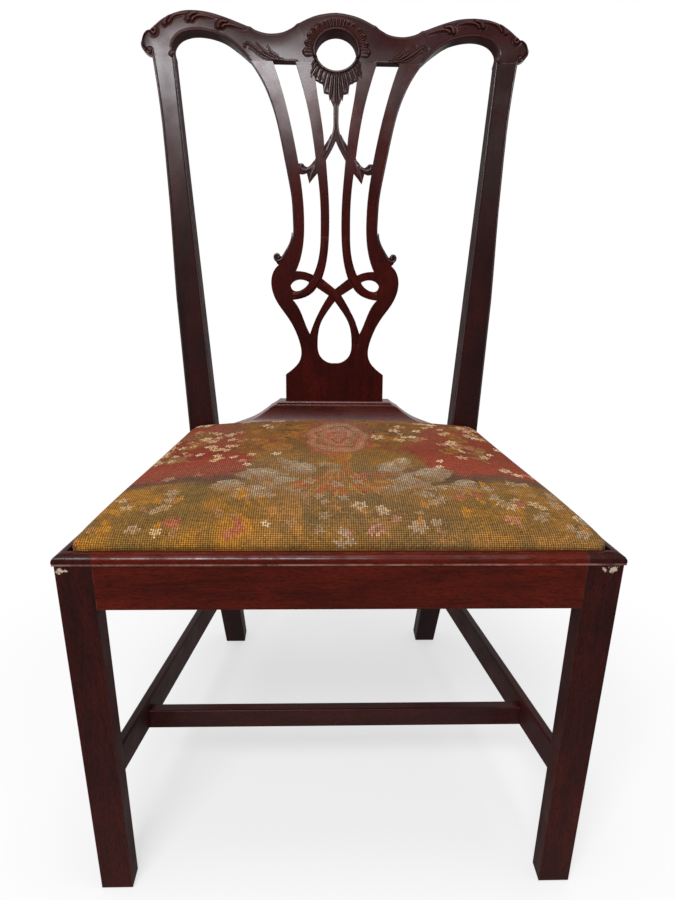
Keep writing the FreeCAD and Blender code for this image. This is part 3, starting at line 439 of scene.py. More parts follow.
# %% Canvas and pad sizes
stitch = 0.00232                     # pitch of the canvas
rim_top, ledge = 0.435, 0.415        # the top of the rails, and the step in them that carries the seat
cover_foot = ledge + 0.002           # the canvas ends just above the step
rim_width = 0.0102                   # wood left to see in front of the pad and beside it
front_edge, back_edge = rim_width, 0.3878
side_cos = math.cos(side_turn)
corner_front, corner_back = 0.012, 0.026        # radii of the pad's corners
# How high the pad stands over the rim at its side, on its shoulder and in its middle, from front to back.
stations = np.array([0, 0.011, 0.030, 0.060, 0.113, 0.189, 0.264, 0.318, 0.348, 0.366, 0.3776])
side_rise = np.array([1.5, 2.2, 3.0, 3.5, 4.0, 4.0, 4.0, 4.0, 4.0, 3.2, 2.0]) / 1000
shoulder_rise = np.array([3.5, 8.0, 11.5, 14.0, 16.0, 16.0, 16.7, 17.7, 18.2, 15.5, 8.5]) / 1000
crown_rise = np.array([6.0, 13.5, 20.5, 26.0, 30.5, 33.0, 32.4, 31.0, 28.5, 23.5, 13.5]) / 1000


def eased(x, xs, ys):
    """Reads a curve through the points with a smooth slope, so that the pad has no ridges."""
    slope = np.gradient(ys, xs)
    k = int(np.clip(np.searchsorted(xs, x) - 1, 0, len(xs) - 2))
    h = xs[k + 1] - xs[k]
    t = min(max((x - xs[k]) / h, 0.0), 1.0)
    return ((1 + 2 * t) * (1 - t) ** 2 * ys[k] + t * (1 - t) ** 2 * h * slope[k]
            + t * t * (3 - 2 * t) * ys[k + 1] + t * t * (t - 1) * h * slope[k + 1])


def half_width(y):
    """Half the pad's width, rounded off at the corners."""
    width = front_half - side_slope * y - rim_width / side_cos
    for radius, depth in ((corner_front, y - front_edge), (corner_back, back_edge - y)):
        if depth < radius:
            width -= radius - math.sqrt(max(radius ** 2 - (radius - depth) ** 2, 0))
    return width


def half_slice(y):
    """Half of the slice across the pad at y: over the crown, round the shoulder, down the side."""
    half, t = half_width(y), y - front_edge
    low, high, top = (rim_top + eased(t, stations, rise) for rise in (side_rise, shoulder_rise, crown_rise))
    roll = min((high - low) * 1.15, half * 0.5)
    meet = half - roll
    crown = [(x, high + (top - high) * (1 - (x / meet) ** 2) ** 0.92) for x in np.linspace(0, meet, 40)]
    turn = [(meet + roll * math.sin(a), low + (high - low) * math.cos(a))
            for a in np.linspace(0, math.pi / 2, 16)[1:]]
    return np.array(crown + turn + [(half, cover_foot)])


print("pad: front half width", round(half_width(0.05), 3), "crown height", round(half_slice(0.2)[0][1], 3))

# %% [markdown]
# One row of stitches after another is laid over the pad. The first and last rows hang down in front
# and behind. Between them, the rows follow each other at one stitch's distance along the crown, and
# in each row the stitches are counted out from the middle to both sides, along the slice.

# %% Lay the canvas over the pad
half_columns = int(0.300 / stitch)
columns = 2 * half_columns
wall = 8                             # rows of stitches down the front edge and down the back edge
top_rows = []
y = front_edge
while y < back_edge:
    top_rows.append(y)
    rise = half_slice(min(y + 0.001, back_edge))[0][1] - half_slice(y)[0][1]
    y += stitch / math.hypot(1, rise / 0.001)
top_rows.append(back_edge)
# Each row is a place in y, and how far the row lies below the edge.
rows = ([(front_edge, stitch * (wall - n)) for n in range(wall)] + [(y, 0.0) for y in top_rows]
        + [(back_edge, stitch * (n + 1)) for n in range(wall)])

bpy.ops.object.select_all(action="DESELECT")
bpy.ops.mesh.primitive_grid_add(x_subdivisions=columns, y_subdivisions=len(rows) - 1, size=1)
cover = bpy.context.object
cover.name = "seat_needlework"
spots = np.empty((len(rows), columns + 1, 3))
counted_out = np.arange(columns + 1) - half_columns
for r, (y, drop) in enumerate(rows):
    curve = half_slice(y)
    lengths = np.concatenate([[0], np.cumsum(np.hypot(*np.diff(curve, axis=0).T))])
    along = np.abs(counted_out) * stitch
    x = np.interp(along, lengths, curve[:, 0]) * np.sign(counted_out)
    z = np.maximum(np.interp(along, lengths, curve[:, 1]) - drop, cover_foot)
    spots[r] = np.column_stack([x, np.full_like(x, y - chair_middle), z])
rng = np.random.default_rng(7)
soft = np.zeros((len(rows), columns + 1))
rr, cc = np.mgrid[0:len(rows), 0:columns + 1]
for _ in range(26):                  # the hair under the canvas is never quite even
    cy, cx, size = rng.uniform(0, len(rows)), rng.uniform(0, columns), rng.uniform(9, 24)
    soft += rng.uniform(-1, 1) * np.exp(-((rr - cy) ** 2 + (cc - cx) ** 2) / (2 * size ** 2))
inside = np.clip((spots[:, :, 2] - rim_top - 0.012) / 0.012, 0, 1)
spots[:, :, 2] += soft * inside * 0.0007
cover.data.vertices.foreach_set("co", spots.reshape(-1))
cover.data.update()
print("stitches:", (len(rows) - 1) * columns)

# %% [markdown]
# ## Drawing the needlework
# A needlework chart is squared paper with one colour in each square. The chart is drawn here in the
# same way. First comes the ground, which runs from olive gold in front through a mauve brown band to
# a faded brick red. On it go a stem with pale leaves, one full-blown bloom with smaller ones round
# it, sprays of leaves and scattered five-petalled blossoms, all of the ordinary kind that is found
# on many old seats.

# %% Chart: wools and masks
chart_rows, chart_columns = len(rows) - 1, columns
rr, cc = np.mgrid[0:chart_rows, 0:chart_columns].astype(float)
depth = rr / chart_rows
across = (cc - chart_columns / 2) * stitch
WOOL = {"olive": (150, 116, 56), "gold": (196, 142, 48), "moss": (118, 104, 58), "mauve": (112, 80, 62),
        "brick": (170, 74, 48), "rose": (186, 108, 84), "cream": (214, 192, 152), "grey": (184, 164, 136),
        "pink": (204, 146, 122), "tan": (172, 132, 84), "orange": (196, 104, 26), "ochre": (170, 126, 44),
        "umber": (58, 42, 32), "white": (232, 220, 192), "madder": (150, 48, 36), "stone": (176, 150, 116)}
wool = {name: np.array(srgb(*value)) for name, value in WOOL.items()}


def clouds(seed, size):
    """A soft random pattern, made by spreading a few random numbers out over the chart."""
    source = np.random.default_rng(seed)
    small = source.uniform(0, 1, (int(chart_rows / size) + 3, int(chart_columns / size) + 3))
    fy, fx = rr / size, cc / size
    iy, ix = fy.astype(int), fx.astype(int)
    ty, tx = fy - iy, fx - ix
    ty, tx = ty * ty * (3 - 2 * ty), tx * tx * (3 - 2 * tx)
    return ((small[iy, ix] * (1 - ty) + small[iy + 1, ix] * ty) * (1 - tx)
            + (small[iy, ix + 1] * (1 - ty) + small[iy + 1, ix + 1] * ty) * tx)


def blend(low, high, value):
    """A mask that rises smoothly from 0 at low to 1 at high."""
    t = np.clip((value - low) / (high - low), 0, 1)
    return (t * t * (3 - 2 * t))[:, :, None]


def tinted(chart, colour, where, force=1.0):
    """The chart with one more wool worked into it, as far as the mask says."""
    return chart + where * (wool[colour] - chart) * force


print("wools:", len(wool))

# %% Chart: the ground
edge = 0.315 + 0.06 * (clouds(1, 26) - 0.5) + 0.03 * (clouds(12, 6) - 0.5) + 0.02 * np.cos(across * 14)
behind = depth - edge                # how far behind the front of the mauve band
red = blend(0.12, 0.2, behind)
chart = wool["olive"] * np.ones((chart_rows, chart_columns, 3))
chart = tinted(chart, "gold", blend(0.40, 0.8, clouds(2, 9)), 0.65)
chart = tinted(chart, "moss", blend(0.5, 0.85, clouds(3, 20)), 0.55)
chart = tinted(chart, "mauve", blend(0, 0.06, behind))
chart = tinted(chart, "brick", blend(0.07, 0.13, behind + 0.04 * clouds(4, 7)))
chart = tinted(chart, "madder", blend(0.5, 0.8, clouds(5, 14)) * red, 0.8)
chart = tinted(chart, "rose", blend(0.5, 0.9, clouds(6, 24)) * red, 0.7)
# A golden clearing runs up the middle of the red.
glade = 0.060 + 0.10 * depth + 0.09 * (clouds(7, 13) - 0.5) + 0.035 * (clouds(11, 5) - 0.5) - np.abs(across)
chart = tinted(chart, "olive", blend(0, 0.045, glade) * blend(0.26, 0.36, depth))
chart = tinted(chart, "ochre", blend(0, 0.03, glade) * blend(0.42, 0.8, clouds(10, 10)), 0.9)
chart = tinted(chart, "tan", blend(0.90, 1.0, depth), 0.7)               # faded along the back
print("ground drawn:", chart.shape)

# %% [markdown]
# Everything on the ground is made of four motifs: a blossom, a leaf, a stem, and a spray that puts
# them together. Each is worked square by square, as a needle would do it. Rows count from the front
# edge, columns from the left, and an angle of a quarter turn points to the back.

# %% Chart: motifs
def square(row, column, colour, force=1.0):
    row, column = int(round(row)), int(round(column))
    if 0 <= row < chart_rows and 0 <= column < chart_columns:
        chart[row, column] += (wool[colour] - chart[row, column]) * force


def blossom(row, column, size, petals, heart, turn=0.0, count=5):
    reach = range(-int(size) - 1, int(size) + 2)
    for dr in reach:
        for dc in reach:
            radius, angle = math.hypot(dr, dc), math.atan2(dr, dc) + turn
            if radius <= size * (0.76 + 0.24 * math.cos(count * angle)):
                square(row + dr, column + dc, heart if radius < size * 0.28 else petals)


def leaf(row, column, angle, length, colour, width=0.34, vein=None):
    steps = int(length * 2)
    for n in range(steps + 1):
        t = n / steps
        half = length * width * math.sin(math.pi * min(t * 1.04, 1)) ** 0.8 / 1.6
        bend = 0.12 * length * t * t
        for m in np.arange(-half, half + 0.3, 0.5):
            r = row + math.sin(angle) * length * t + math.cos(angle) * (m + bend)
            c = column + math.cos(angle) * length * t - math.sin(angle) * (m + bend)
            square(r, c, vein if vein and abs(m) < 0.3 else colour)


def stem(row, column, angle, length, colour, curl=0.0):
    for _ in range(int(length * 2)):
        square(row, column, colour)
        row += math.sin(angle) * 0.5
        column += math.cos(angle) * 0.5
        angle += curl / (length * 2)
    return row, column, angle


source = random.Random(23)


def spray(row, column, angle, size, leaves, vein, flower):
    """A curved stem with leaves on both sides and a few blossoms at its end."""
    curl = source.uniform(-0.9, 0.9)
    for _ in range(3):
        row, column, angle = stem(row, column, angle, size * 0.45, vein, curl / 3)
        for side in (-1, 1):
            leaf(row, column, angle + side * source.uniform(0.6, 1.0), size * source.uniform(0.4, 0.6), leaves,
                 vein=vein)
    for _ in range(3):
        away = angle + source.uniform(-1.3, 1.3)
        blossom(row + math.sin(away) * size * 0.36, column + math.cos(away) * size * 0.36,
                source.uniform(2.3, 3.4), flower, "gold", source.uniform(0, 6))


def at(share, sideways):
    """A place on the chart: a share of its depth, and millimetres from the middle."""
    return chart_rows * share, chart_columns / 2 + sideways / (stitch * 1000)


print("motifs ready")

# %% Chart: the stem and its leaves
SCROLLING = ((0.27, 24, 0.15, 21), (0.30, 52, 0.45, 24), (0.26, 84, -0.1, 19), (0.37, 36, 0.75, 20),
             (0.35, 74, 0.35, 23), (0.30, 112, 0.1, 17), (0.43, 58, 0.9, 13))
for side in (-1, 1):                 # long pale leaves that scroll out from the stem at both sides
    for share, out, turn, length in SCROLLING:
        row, column = at(share, side * (out + 8 * side))
        angle = turn if side > 0 else math.pi - turn
        leaf(row, column, angle, length, "stone", 0.5, "tan")
        leaf(row + 2, column + 2 * side, angle + 0.25 * side, length * 0.7, "grey", 0.4, "cream")
        leaf(row - 3, column + 3 * side, angle - 0.5 * side, length * 0.5, "tan", 0.3)
for _ in range(20):                  # golden leaves behind the large blooms
    row, column = at(source.uniform(0.46, 0.92), source.uniform(-95, 95))
    leaf(row, column, source.uniform(0, 6.2), source.uniform(12, 19), source.choice(("gold", "ochre", "gold")),
         0.5, "olive")
for side in (-1, 1):                 # dark thin twigs among them
    for n in range(4):
        row, column = at(0.66 + 0.06 * n, side * (36 + 9 * n))
        stem(row, column, 0.5 + 0.3 * n if side > 0 else 2.6 - 0.3 * n, 14, "umber", -0.9 * side)
for n in range(-8, 9):               # the stem, in orange and ochre, spreading at its foot
    row, column = at(0.50, n * 1.15)
    row, column, angle = stem(row, column, -math.pi / 2, 26, ("ochre", "orange", "ochre")[n % 3], 0.03 * n)
    row, column, angle = stem(row, column, angle, 12, ("orange", "ochre", "gold")[n % 3], 0.11 * n)
    leaf(row, column, angle + 0.04 * n, 13, ("orange", "ochre", "gold")[n % 3], 0.16)
    if n % 2:
        leaf(row + 5, column, angle + 0.12 * n, 15, ("ochre", "orange")[n % 4 // 2], 0.14)
print("stem and leaves worked")

# %% Chart: the large blooms
# Each has its place, its size, and the wools of its outer, middle and inner petals.
BLOOMS = ((0.79, 0, 19, "rose", "tan", "grey"), (0.70, -48, 8, "gold", "ochre", "gold"),
          (0.68, 50, 9, "gold", "tan", "cream"), (0.90, -62, 8, "pink", "rose", "tan"),
          (0.88, 60, 9, "tan", "ochre", "gold"))
for n, (share, out, size, outer, middle, inner) in enumerate(BLOOMS):
    row, column = at(share, out)
    for k in range(8):
        angle = 2 * math.pi * k / 8 + n
        leaf(row + math.sin(angle) * size * 0.5, column + math.cos(angle) * size * 0.5, angle, size * 1.0,
             ("ochre", "gold", "olive")[(n + k) % 3], 0.42, "moss")
    blossom(row, column, size, outer, "umber", n, 6)
    blossom(row, column, size * 0.8, middle, "rose", n + 0.5, 6)
    blossom(row, column, size * 0.5, inner, "rose", n + 1, 5)
row, column = at(0.67, 0)            # the largest bloom, full blown, one ring of petals inside the next
for dr in range(-37, 38):
    for dc in range(-22, 23):
        radius, angle = math.hypot(dr / 36, dc / 21), math.atan2(dr, dc)
        ring = radius + 0.13 * abs(math.cos(2.5 * angle + 2.2 * round(radius * 3)))
        part = ring * 3.4 % 1
        colour = "rose" if part < 0.22 or ring > 0.93 else "pink" if part < 0.7 or ring < 0.3 else "stone"
        if ring < 1.0:
            square(row + dr, column + dc, colour, 0.85)
print("blooms worked:", len(BLOOMS) + 1)

# %% Chart: sprays and scattered blossoms
SPRAYS = ((0.55, 120), (0.66, 168), (0.80, 128), (0.60, 206), (0.90, 160), (0.74, 96), (0.50, 176), (0.72, 214),
          (0.86, 196))
for side in (-1, 1):                 # sprays of leaves over the red ground
    for share, out in SPRAYS:
        row, column = at(share, side * out + source.uniform(-9, 9))
        spray(row, column, source.uniform(0.4, 2.7), source.uniform(12, 16),
              source.choice(("gold", "ochre", "tan")), source.choice(("olive", "tan")),
              source.choice(("cream", "cream", "pink")))
for side in (-1, 1):                 # clusters of loose blossoms on the red
    for _ in range(22):
        share, out = source.uniform(0.42, 0.95), source.uniform(84, 236)
        for _ in range(source.choice((2, 3, 4))):
            row, column = at(share + source.uniform(-0.03, 0.03), side * out + source.uniform(-20, 20))
            blossom(row, column, source.uniform(2.2, 3.7), source.choice(("white", "cream", "pink", "cream")),
                    source.choice(("gold", "rose")), source.uniform(0, 6))
for _ in range(90):                  # grass-like leaves in bands along the golden ground
    row, column = at(source.uniform(0.05, 0.33), source.uniform(-275, 275))
    leaf(row, column, math.pi / 2 + source.uniform(-0.6, 0.6), source.uniform(5, 12),
         source.choice(("gold", "gold", "olive", "ochre", "tan")), 0.22)
for _ in range(50):                  # blossoms in front, in twos and threes
    share, out = source.uniform(0.06, 0.40), source.uniform(-265, 265)
    flower = source.choice(("cream", "grey", "pink", "stone", "grey", "rose"))
    for _ in range(source.choice((1, 2, 3))):
        row, column = at(share + source.uniform(-0.035, 0.035), out + source.uniform(-16, 16))
        blossom(row, column, source.uniform(2.3, 4.2), flower, source.choice(("gold", "tan")),
                source.uniform(0, 6))
for row in range(10):                # a red tuft at the front corner
    square(2 + row, chart_columns / 2 - 113 + row % 3, "brick")
print("sprays and blossoms worked")

# %% [markdown]
# Wool fades and takes the dye unevenly, so every stitch is a little lighter or darker than the next,
# and so is every row. The finished chart is then laid on the canvas, one colour for each face. A map
# that counts the stitches goes with it, for the material to find its place inside each stitch.

# %% Chart: age, and on to the canvas
dye = np.random.default_rng(3)
chart *= (1 + 0.14 * (clouds(8, 3) - 0.5) + 0.14 * dye.normal(0, 1, chart.shape[:2]))[:, :, None]
chart *= (1 + 0.05 * dye.normal(0, 1, (chart_rows, 1)))[:, :, None]
grimy = blend(0.55, 0.95, clouds(9, 34)) * 0.25
chart = chart * (1 - grimy) + grimy * chart.mean(axis=2, keepdims=True) * 0.8
pale = np.clip((chart.min(axis=2, keepdims=True) - 0.10) / 0.20, 0, 1)
# The red wool at the back has darkened more than the pale, and all of it has yellowed.
chart *= 1 - blend(0.42, 0.62, depth) * (0.34, 0.45, 0.52) * (1 - 0.85 * pale)
chart = np.clip(chart * (0.88, 0.77, 0.64), 0.004, 0.9)
mesh = cover.data
wools = mesh.color_attributes.new("wool", "FLOAT_COLOR", "CORNER")
per_corner = np.ones((chart_rows * chart_columns, 4, 4), np.float32)
per_corner[:, :, :3] = chart.reshape(-1, 1, 3)
wools.data.foreach_set("color", per_corner.reshape(-1))
canvas = mesh.uv_layers[0]
canvas.name = "canvas"
corners = np.empty(len(mesh.loops), np.int32)
mesh.loops.foreach_get("vertex_index", corners)
corner_row, corner_column = np.divmod(corners, columns + 1)
canvas.data.foreach_set("uv", np.stack([corner_column, corner_row], axis=1).astype(np.float32).reshape(-1))
print("wool laid on", len(mesh.polygons), "stitches")

# %% [markdown]
# Where the chair narrows, the canvas is wider than the pad and its spare squares gather at the lower
# edge. They are merged away, and the edge is turned in under the pad, as the real cover is.

# %% Turn the cover in
def select_open_edges():
    """Selects the edges that have a face on one side only."""
    bpy.ops.mesh.select_all(action="DESELECT")
    bpy.ops.mesh.select_mode(type="EDGE")
    bpy.ops.mesh.select_non_manifold(extend=False, use_wire=False, use_multi_face=False,
                                     use_non_contiguous=False, use_verts=False)


pad_middle = (0, (front_edge + back_edge) / 2 - chair_middle, ledge)
bpy.ops.object.mode_set(mode="EDIT")
bpy.ops.mesh.select_all(action="SELECT")
bpy.ops.mesh.remove_doubles(threshold=0.0001)
select_open_edges()
bpy.ops.mesh.extrude_region_move(TRANSFORM_OT_translate={"value": (0, 0, 0)})
bpy.ops.transform.resize(value=(0.92, 0.88, 1.0), center_override=pad_middle)
bpy.ops.mesh.extrude_region_move(TRANSFORM_OT_translate={"value": (0, 0, 0.002)})
bpy.ops.mesh.edge_face_add()
bpy.ops.mesh.select_all(action="SELECT")
bpy.ops.mesh.normals_make_consistent(inside=False)
bpy.ops.object.mode_set(mode="OBJECT")
bpy.ops.object.shade_smooth()
print("cover faces:", len(cover.data.polygons), "top:", round(max(v.co.z for v in cover.data.vertices), 4))

# %% [markdown]
# ## Wool
# Each stitch is a small plump slant of wool over a dark canvas thread. The canvas map counts stitches,
# so its fractions give the place inside one stitch: low at the edges, where the thread shows, and high
# in the middle. Wool is matt with a faint soft sheen.

# %% Needlework material
needlework, tree = new_material("needlework")
place = object_place(tree)
counted = node(tree, "UVMap", {"uv_map": "canvas"}).outputs[0]
parts = node(tree, "SeparateXYZ", Vector=counted).outputs
dome = [maths(tree, "SINE", times(tree, maths(tree, "FRACT", part), math.pi)) for part in parts[:2]]
plump = times(tree, maths(tree, "POWER", dome[0], 0.55), maths(tree, "POWER", dome[1], 0.5))
slant = node(tree, "TexWave", {"bands_direction": "DIAGONAL"}, Vector=counted, Scale=0.9, Distortion=1.2,
             Detail=1.0).outputs["Fac"]
fuzz = noise(tree, place, 900.0)
depth_in_room = node(tree, "SeparateXYZ", Vector=place).outputs[1]
open_weave = faded(tree, depth_in_room, -0.14, 0.0, 1.0, 0.6, smooth=True)    # the thread shows most in front
colour = node(tree, "VertexColor", {"layer_name": "wool"}).outputs[0]
colour = laid_over(tree, colour, srgb(38, 26, 16), ramp(tree, plump, (0.26, 1.0), (0.68, 0.0)), open_weave)
colour = mix(tree, times(tree, fuzz, 0.3), colour, colour, "MULTIPLY")
height = plus(tree, times(tree, plump, 0.8), times(tree, slant, 0.25))
height = plus(tree, height, times(tree, fuzz, 0.2))
bump = node(tree, "Bump", Height=height, Strength=0.55, Distance=0.0006).outputs[0]
surface(tree, Base_Color=colour, Roughness=0.95, Normal=bump, Specular_IOR_Level=0.05,
        Sheen_Weight=0.06, Sheen_Roughness=0.6, Sheen_Tint=(0.9, 0.8, 0.65, 1))
cover.data.materials.append(needlework)
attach(cover, "drop_in_seat")
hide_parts("needlework_cover", "seat_stuffing")
print("needlework done")

# %% [markdown]
# ## Drawing on the raked back
# The chair's back leans away, so its carving is drawn on a sloping board: so far out from the middle,
# so high above the floor, and so far proud of the board's face. One helper turns such a drawing into
# places in the room, another runs a smooth line through drawn points, and a third measures how far
# every point of the board is from such a line. All carving below is built from these three.

# %% Helpers for the sloping board
board_normal = np.array([0, 1, -rake]) / math.hypot(1, rake)


def on_board(x, z, proud):
    """Millimetres on the board to metres in the room."""
    x, z, proud = np.broadcast_arrays(x, z, proud)
    y = seat_depth_mm + (z - rail_top_mm) * rake - chair_middle_mm
    return (np.stack([x, y, z], axis=-1) - board_normal * proud[..., None]) / 1000


def through(points, step=0.8):
    """A smooth line through the points, as many small steps."""
    p = np.array(points, float)
    p = np.vstack([2 * p[0] - p[1], p, 2 * p[-1] - p[-2]])
    made = []
    for a, b, c, d in zip(p, p[1:], p[2:], p[3:]):
        count = max(2, int(np.linalg.norm(c - b) / step))
        t = np.linspace(0, 1, count, endpoint=False)[:, None]
        made.append(0.5 * (2 * b + (c - a) * t + (2 * a - 5 * b + 4 * c - d) * t ** 2
                           + (3 * b - a - 3 * c + d) * t ** 3))
    return np.vstack(made + [p[-2:-1]])


def straight(a, b):
    """A straight line from one point to another, in steps of a millimetre."""
    return np.linspace(a, b, max(2, int(math.dist(a, b))))


def near(x, z, line):
    """For every point: its distance from the line, how far along it is (0 to 1), and on which side."""
    shape = x.shape
    q = np.column_stack([x.reshape(-1), z.reshape(-1)])
    best = np.full(len(q), 1e9)
    share = np.zeros(len(q))
    side = np.zeros(len(q))
    total = len(line) - 1
    for n, (a, b) in enumerate(zip(line, line[1:])):
        d = b - a
        t = np.clip(((q - a) @ d) / max(d @ d, 1e-9), 0, 1)
        away = q - (a + t[:, None] * d)
        dist = np.hypot(*away.T)
        closer = dist < best
        best = np.where(closer, dist, best)
        share = np.where(closer, (n + t) / total, share)
        side = np.where(closer, np.sign(d[0] * away[:, 1] - d[1] * away[:, 0]), side)
    return best.reshape(shape), share.reshape(shape), side.reshape(shape)


print("the board leans back", round(math.degrees(math.atan(rake)), 1), "degrees")

# %% [markdown]
# Every cut and swelling has one of three simple sections: a smooth hump, a round bead, or a slope
# between two levels. A last helper turns a grid of places into a piece of wood: a grid primitive is
# added with as many lines as the drawing has, and each crossing is put in its place.

# %% Helpers for carving
def hump(value):
    """1 at nought, falling smoothly to 0 at 1 on either side."""
    return np.where(np.abs(value) < 1, 0.5 + 0.5 * np.cos(np.pi * np.clip(value, -1, 1)), 0)


def bead(value):
    """Half a circle: 1 at nought, falling steeply to 0 at 1 on either side."""
    return np.sqrt(np.maximum(1 - value ** 2, 0))


def slope(value, start, length):
    """0 up to start, then straight up to 1 over the length."""
    return np.clip((value - start) / length, 0, 1)


def grid_piece(name, spots, material):
    n_rows, n_columns = spots.shape[:2]
    bpy.ops.object.select_all(action="DESELECT")
    bpy.ops.mesh.primitive_grid_add(x_subdivisions=n_columns - 1, y_subdivisions=n_rows - 1, size=1)
    piece = bpy.context.object
    piece.name = name
    piece.data.vertices.foreach_set("co", spots.reshape(-1))
    piece.data.update()
    piece.data.materials.append(material)
    bpy.ops.object.mode_set(mode="EDIT")
    bpy.ops.mesh.select_all(action="SELECT")
    bpy.ops.mesh.remove_doubles(threshold=0.00002)
    bpy.ops.mesh.normals_make_consistent(inside=False)
    bpy.ops.object.mode_set(mode="OBJECT")
    bpy.ops.object.shade_smooth()
    print(name, "faces:", len(piece.data.polygons))
    return piece


print("carving helpers ready")

# %% [markdown]
# ## The crest rail
# The crest rail is one shaped board with a rounded top, two ears that end in scrolls, a thin bead
# round each arch, leaves that creep along the humps, and a shell over the oval hole. It could be cut
# out as a flat board with lumps set on it, but carving is one skin of wood that swells and sinks. So
# the board is laid out as a long ribbon of small squares from its lower edge to its top edge, and
# each tool mark lifts or sinks the squares near its line.

# %% Crest rail: its outline
hole_x, hole_z, hole_middle = 26.5, 22.8, 925.3     # the oval hole: half its width and height, and its middle
angles = np.radians(np.linspace(90, -35.7, 44))
oval = np.column_stack([hole_x * np.cos(angles), hole_middle + hole_z * np.sin(angles)])
arch = through([(112, 912), (120, 920), (130, 928.8), (140, 935.6), (150, 940.4), (160, 943.3), (170, 945.1),
                (180, 945.7), (190, 944.7), (200, 941.4), (207.5, 935.5), (211.5, 927), (209, 915.5)])
ear_low = through([(237.5, 915.5), (245, 918.8), (250.6, 925), (252, 932)])
ear_high = through([(252, 932), (249, 939.4), (243.4, 944.2), (238.8, 945.4), (235.4, 948.6)])
top_line = through([(0, 969.8), (12, 968.8), (28, 965.6), (44, 959.2), (57, 951.8), (70, 946.3), (86, 944.5),
                    (100, 946.7), (112, 951.3), (126, 956.2), (142, 961.4), (158, 965.6), (172, 967.7),
                    (184, 968.2), (196, 967.4), (208, 964.6), (219, 960.2), (228, 954.6), (235.4, 948.6)])


def lumps(x):
    """Two small lumps that the leaves raise on the front's top edge."""
    return 1.1 * np.exp(-((x - 51.5) / 3.2) ** 2) + 0.9 * np.exp(-((x - 111) / 2.6) ** 2)


top_line[:, 1] += lumps(top_line[:, 0])
lower_line = np.vstack([oval, straight((21.6, 912), (112, 912)), arch, straight((209.5, 915.5), (237, 915.5)),
                        ear_low])
upper_line = np.vstack([top_line, ear_high[::-1]])
# Points of the lower and of the upper edge that face each other across the ribbon.
PAIRS = [((0, 948.1), (0, 969.8)), ((18.7, 941.4), (24, 966.6)), ((26.5, 925.3), (48, 957.2)),
         ((21.5, 912), (60, 950.2)), ((52.8, 912), (74, 945.6)), ((82.6, 912), (93, 945.2)),
         ((112, 912), (118, 953.5)), ((140, 935.6), (147, 963)), ((170, 945.1), (172, 967.7)),
         ((200, 941.4), (202, 966.2)), ((211.5, 927), (221, 959)), ((209, 915.5), (229, 953.8)),
         ((237.5, 915.5), (238.8, 945.4)), ((245, 918.8), (246.5, 942.2)), ((252, 932), (252, 932))]
print("edges drawn:", len(lower_line), "and", len(upper_line), "points")


# %% Crest rail: the ribbon of squares
def lengths_to(line, *points):
    """How far along the line each point lies, and the lengths of the line's own points."""
    lengths = np.concatenate([[0], np.cumsum(np.hypot(*np.diff(line, axis=0).T))])
    return [lengths[np.argmin(np.hypot(*(line - np.array(point)).T))] for point in points], lengths


def columns_between(low_line, high_line, pairs):
    """The lower and upper ends of all columns, finer over the shell, where the carving is."""
    lows, highs = [], []
    for n, (pair, following) in enumerate(zip(pairs, pairs[1:])):
        fineness = 2.0 if pair[0][0] < 60 and pair[1][0] < 60 else 1.05
        (a, b), low_lengths = lengths_to(low_line, pair[0], following[0])
        (c, d), high_lengths = lengths_to(high_line, pair[1], following[1])
        count = max(4, int(max(b - a, d - c) * fineness))
        t = np.linspace(0, 1, count, endpoint=n == len(pairs) - 2)
        lows += [[np.interp(mark, low_lengths, low_line[:, k]) for k in (0, 1)] for mark in a + (b - a) * t]
        highs += [[np.interp(mark, high_lengths, high_line[:, k]) for k in (0, 1)] for mark in c + (d - c) * t]
    return np.array(lows), np.array(highs)


low_points, high_points = columns_between(lower_line, upper_line, PAIRS)
low_points = np.vstack([low_points[:0:-1] * (-1, 1), low_points])       # the left half mirrors the right
high_points = np.vstack([high_points[:0:-1] * (-1, 1), high_points])
swing = np.cos(np.pi * np.linspace(0, 1, 58))
v = 0.5 - 0.5 * swing * (0.55 + 0.45 * np.abs(swing))       # from the lower edge to the upper, finer near both
v = (v - v[0]) / (v[-1] - v[0])
front_x = low_points[None, :, 0] + (high_points - low_points)[None, :, 0] * v[:, None]
front_z = low_points[None, :, 1] + (high_points - low_points)[None, :, 1] * v[:, None]
print("crest ribbon:", front_x.shape)

# %% Crest rail: edges, arches and ears
mx = np.abs(front_x)                 # everything is carved on both halves alike
relief = np.zeros_like(mx)           # how far the wood stands proud, in millimetres
to_top = near(mx, front_z, upper_line)[0]
relief -= 2.2 * np.clip(1 - to_top / 24, 0, 1) ** 2                      # the face rolls back towards the top
rounding = 4.5
sunk = rounding - np.sqrt(np.maximum(rounding ** 2 - (rounding - to_top) ** 2, 0))
relief -= np.where(to_top < rounding, sunk, 0) * 0.75
to_arch, along_arch, _ = near(mx, front_z, arch)
relief += 0.7 * hump((to_arch - 0.8) / 1.1) - 0.35 * hump((to_arch - 2.4) / 0.8) * (along_arch > 0.02)
bar_low = near(mx, front_z, straight((53, 912), (83, 912)))[0]
relief += 0.8 * hump((bar_low - 1.2) / 1.6)
ear = np.vstack([ear_low, ear_high[1:]])
to_ear, along_ear, _ = near(mx, front_z, ear)
relief += 1.7 * hump((to_ear - 1.3) / 1.6)
relief -= 2.4 * hump((to_ear - 3.5) / 1.2) * (to_top < 40) * hump((along_ear - 0.5) / 0.62)
for bx, bz, size in ((234.6, 942.6, 4.3), (241.0, 920.4, 3.1)):          # the ears' small scrolls
    away = np.hypot(mx - bx, front_z - bz)
    relief += 2.6 * hump((away - size * 0.55) / (size * 0.6)) - 1.6 * hump(away / (size * 0.35))
    relief -= 1.3 * hump((away - size * 1.35) / (size * 0.42))
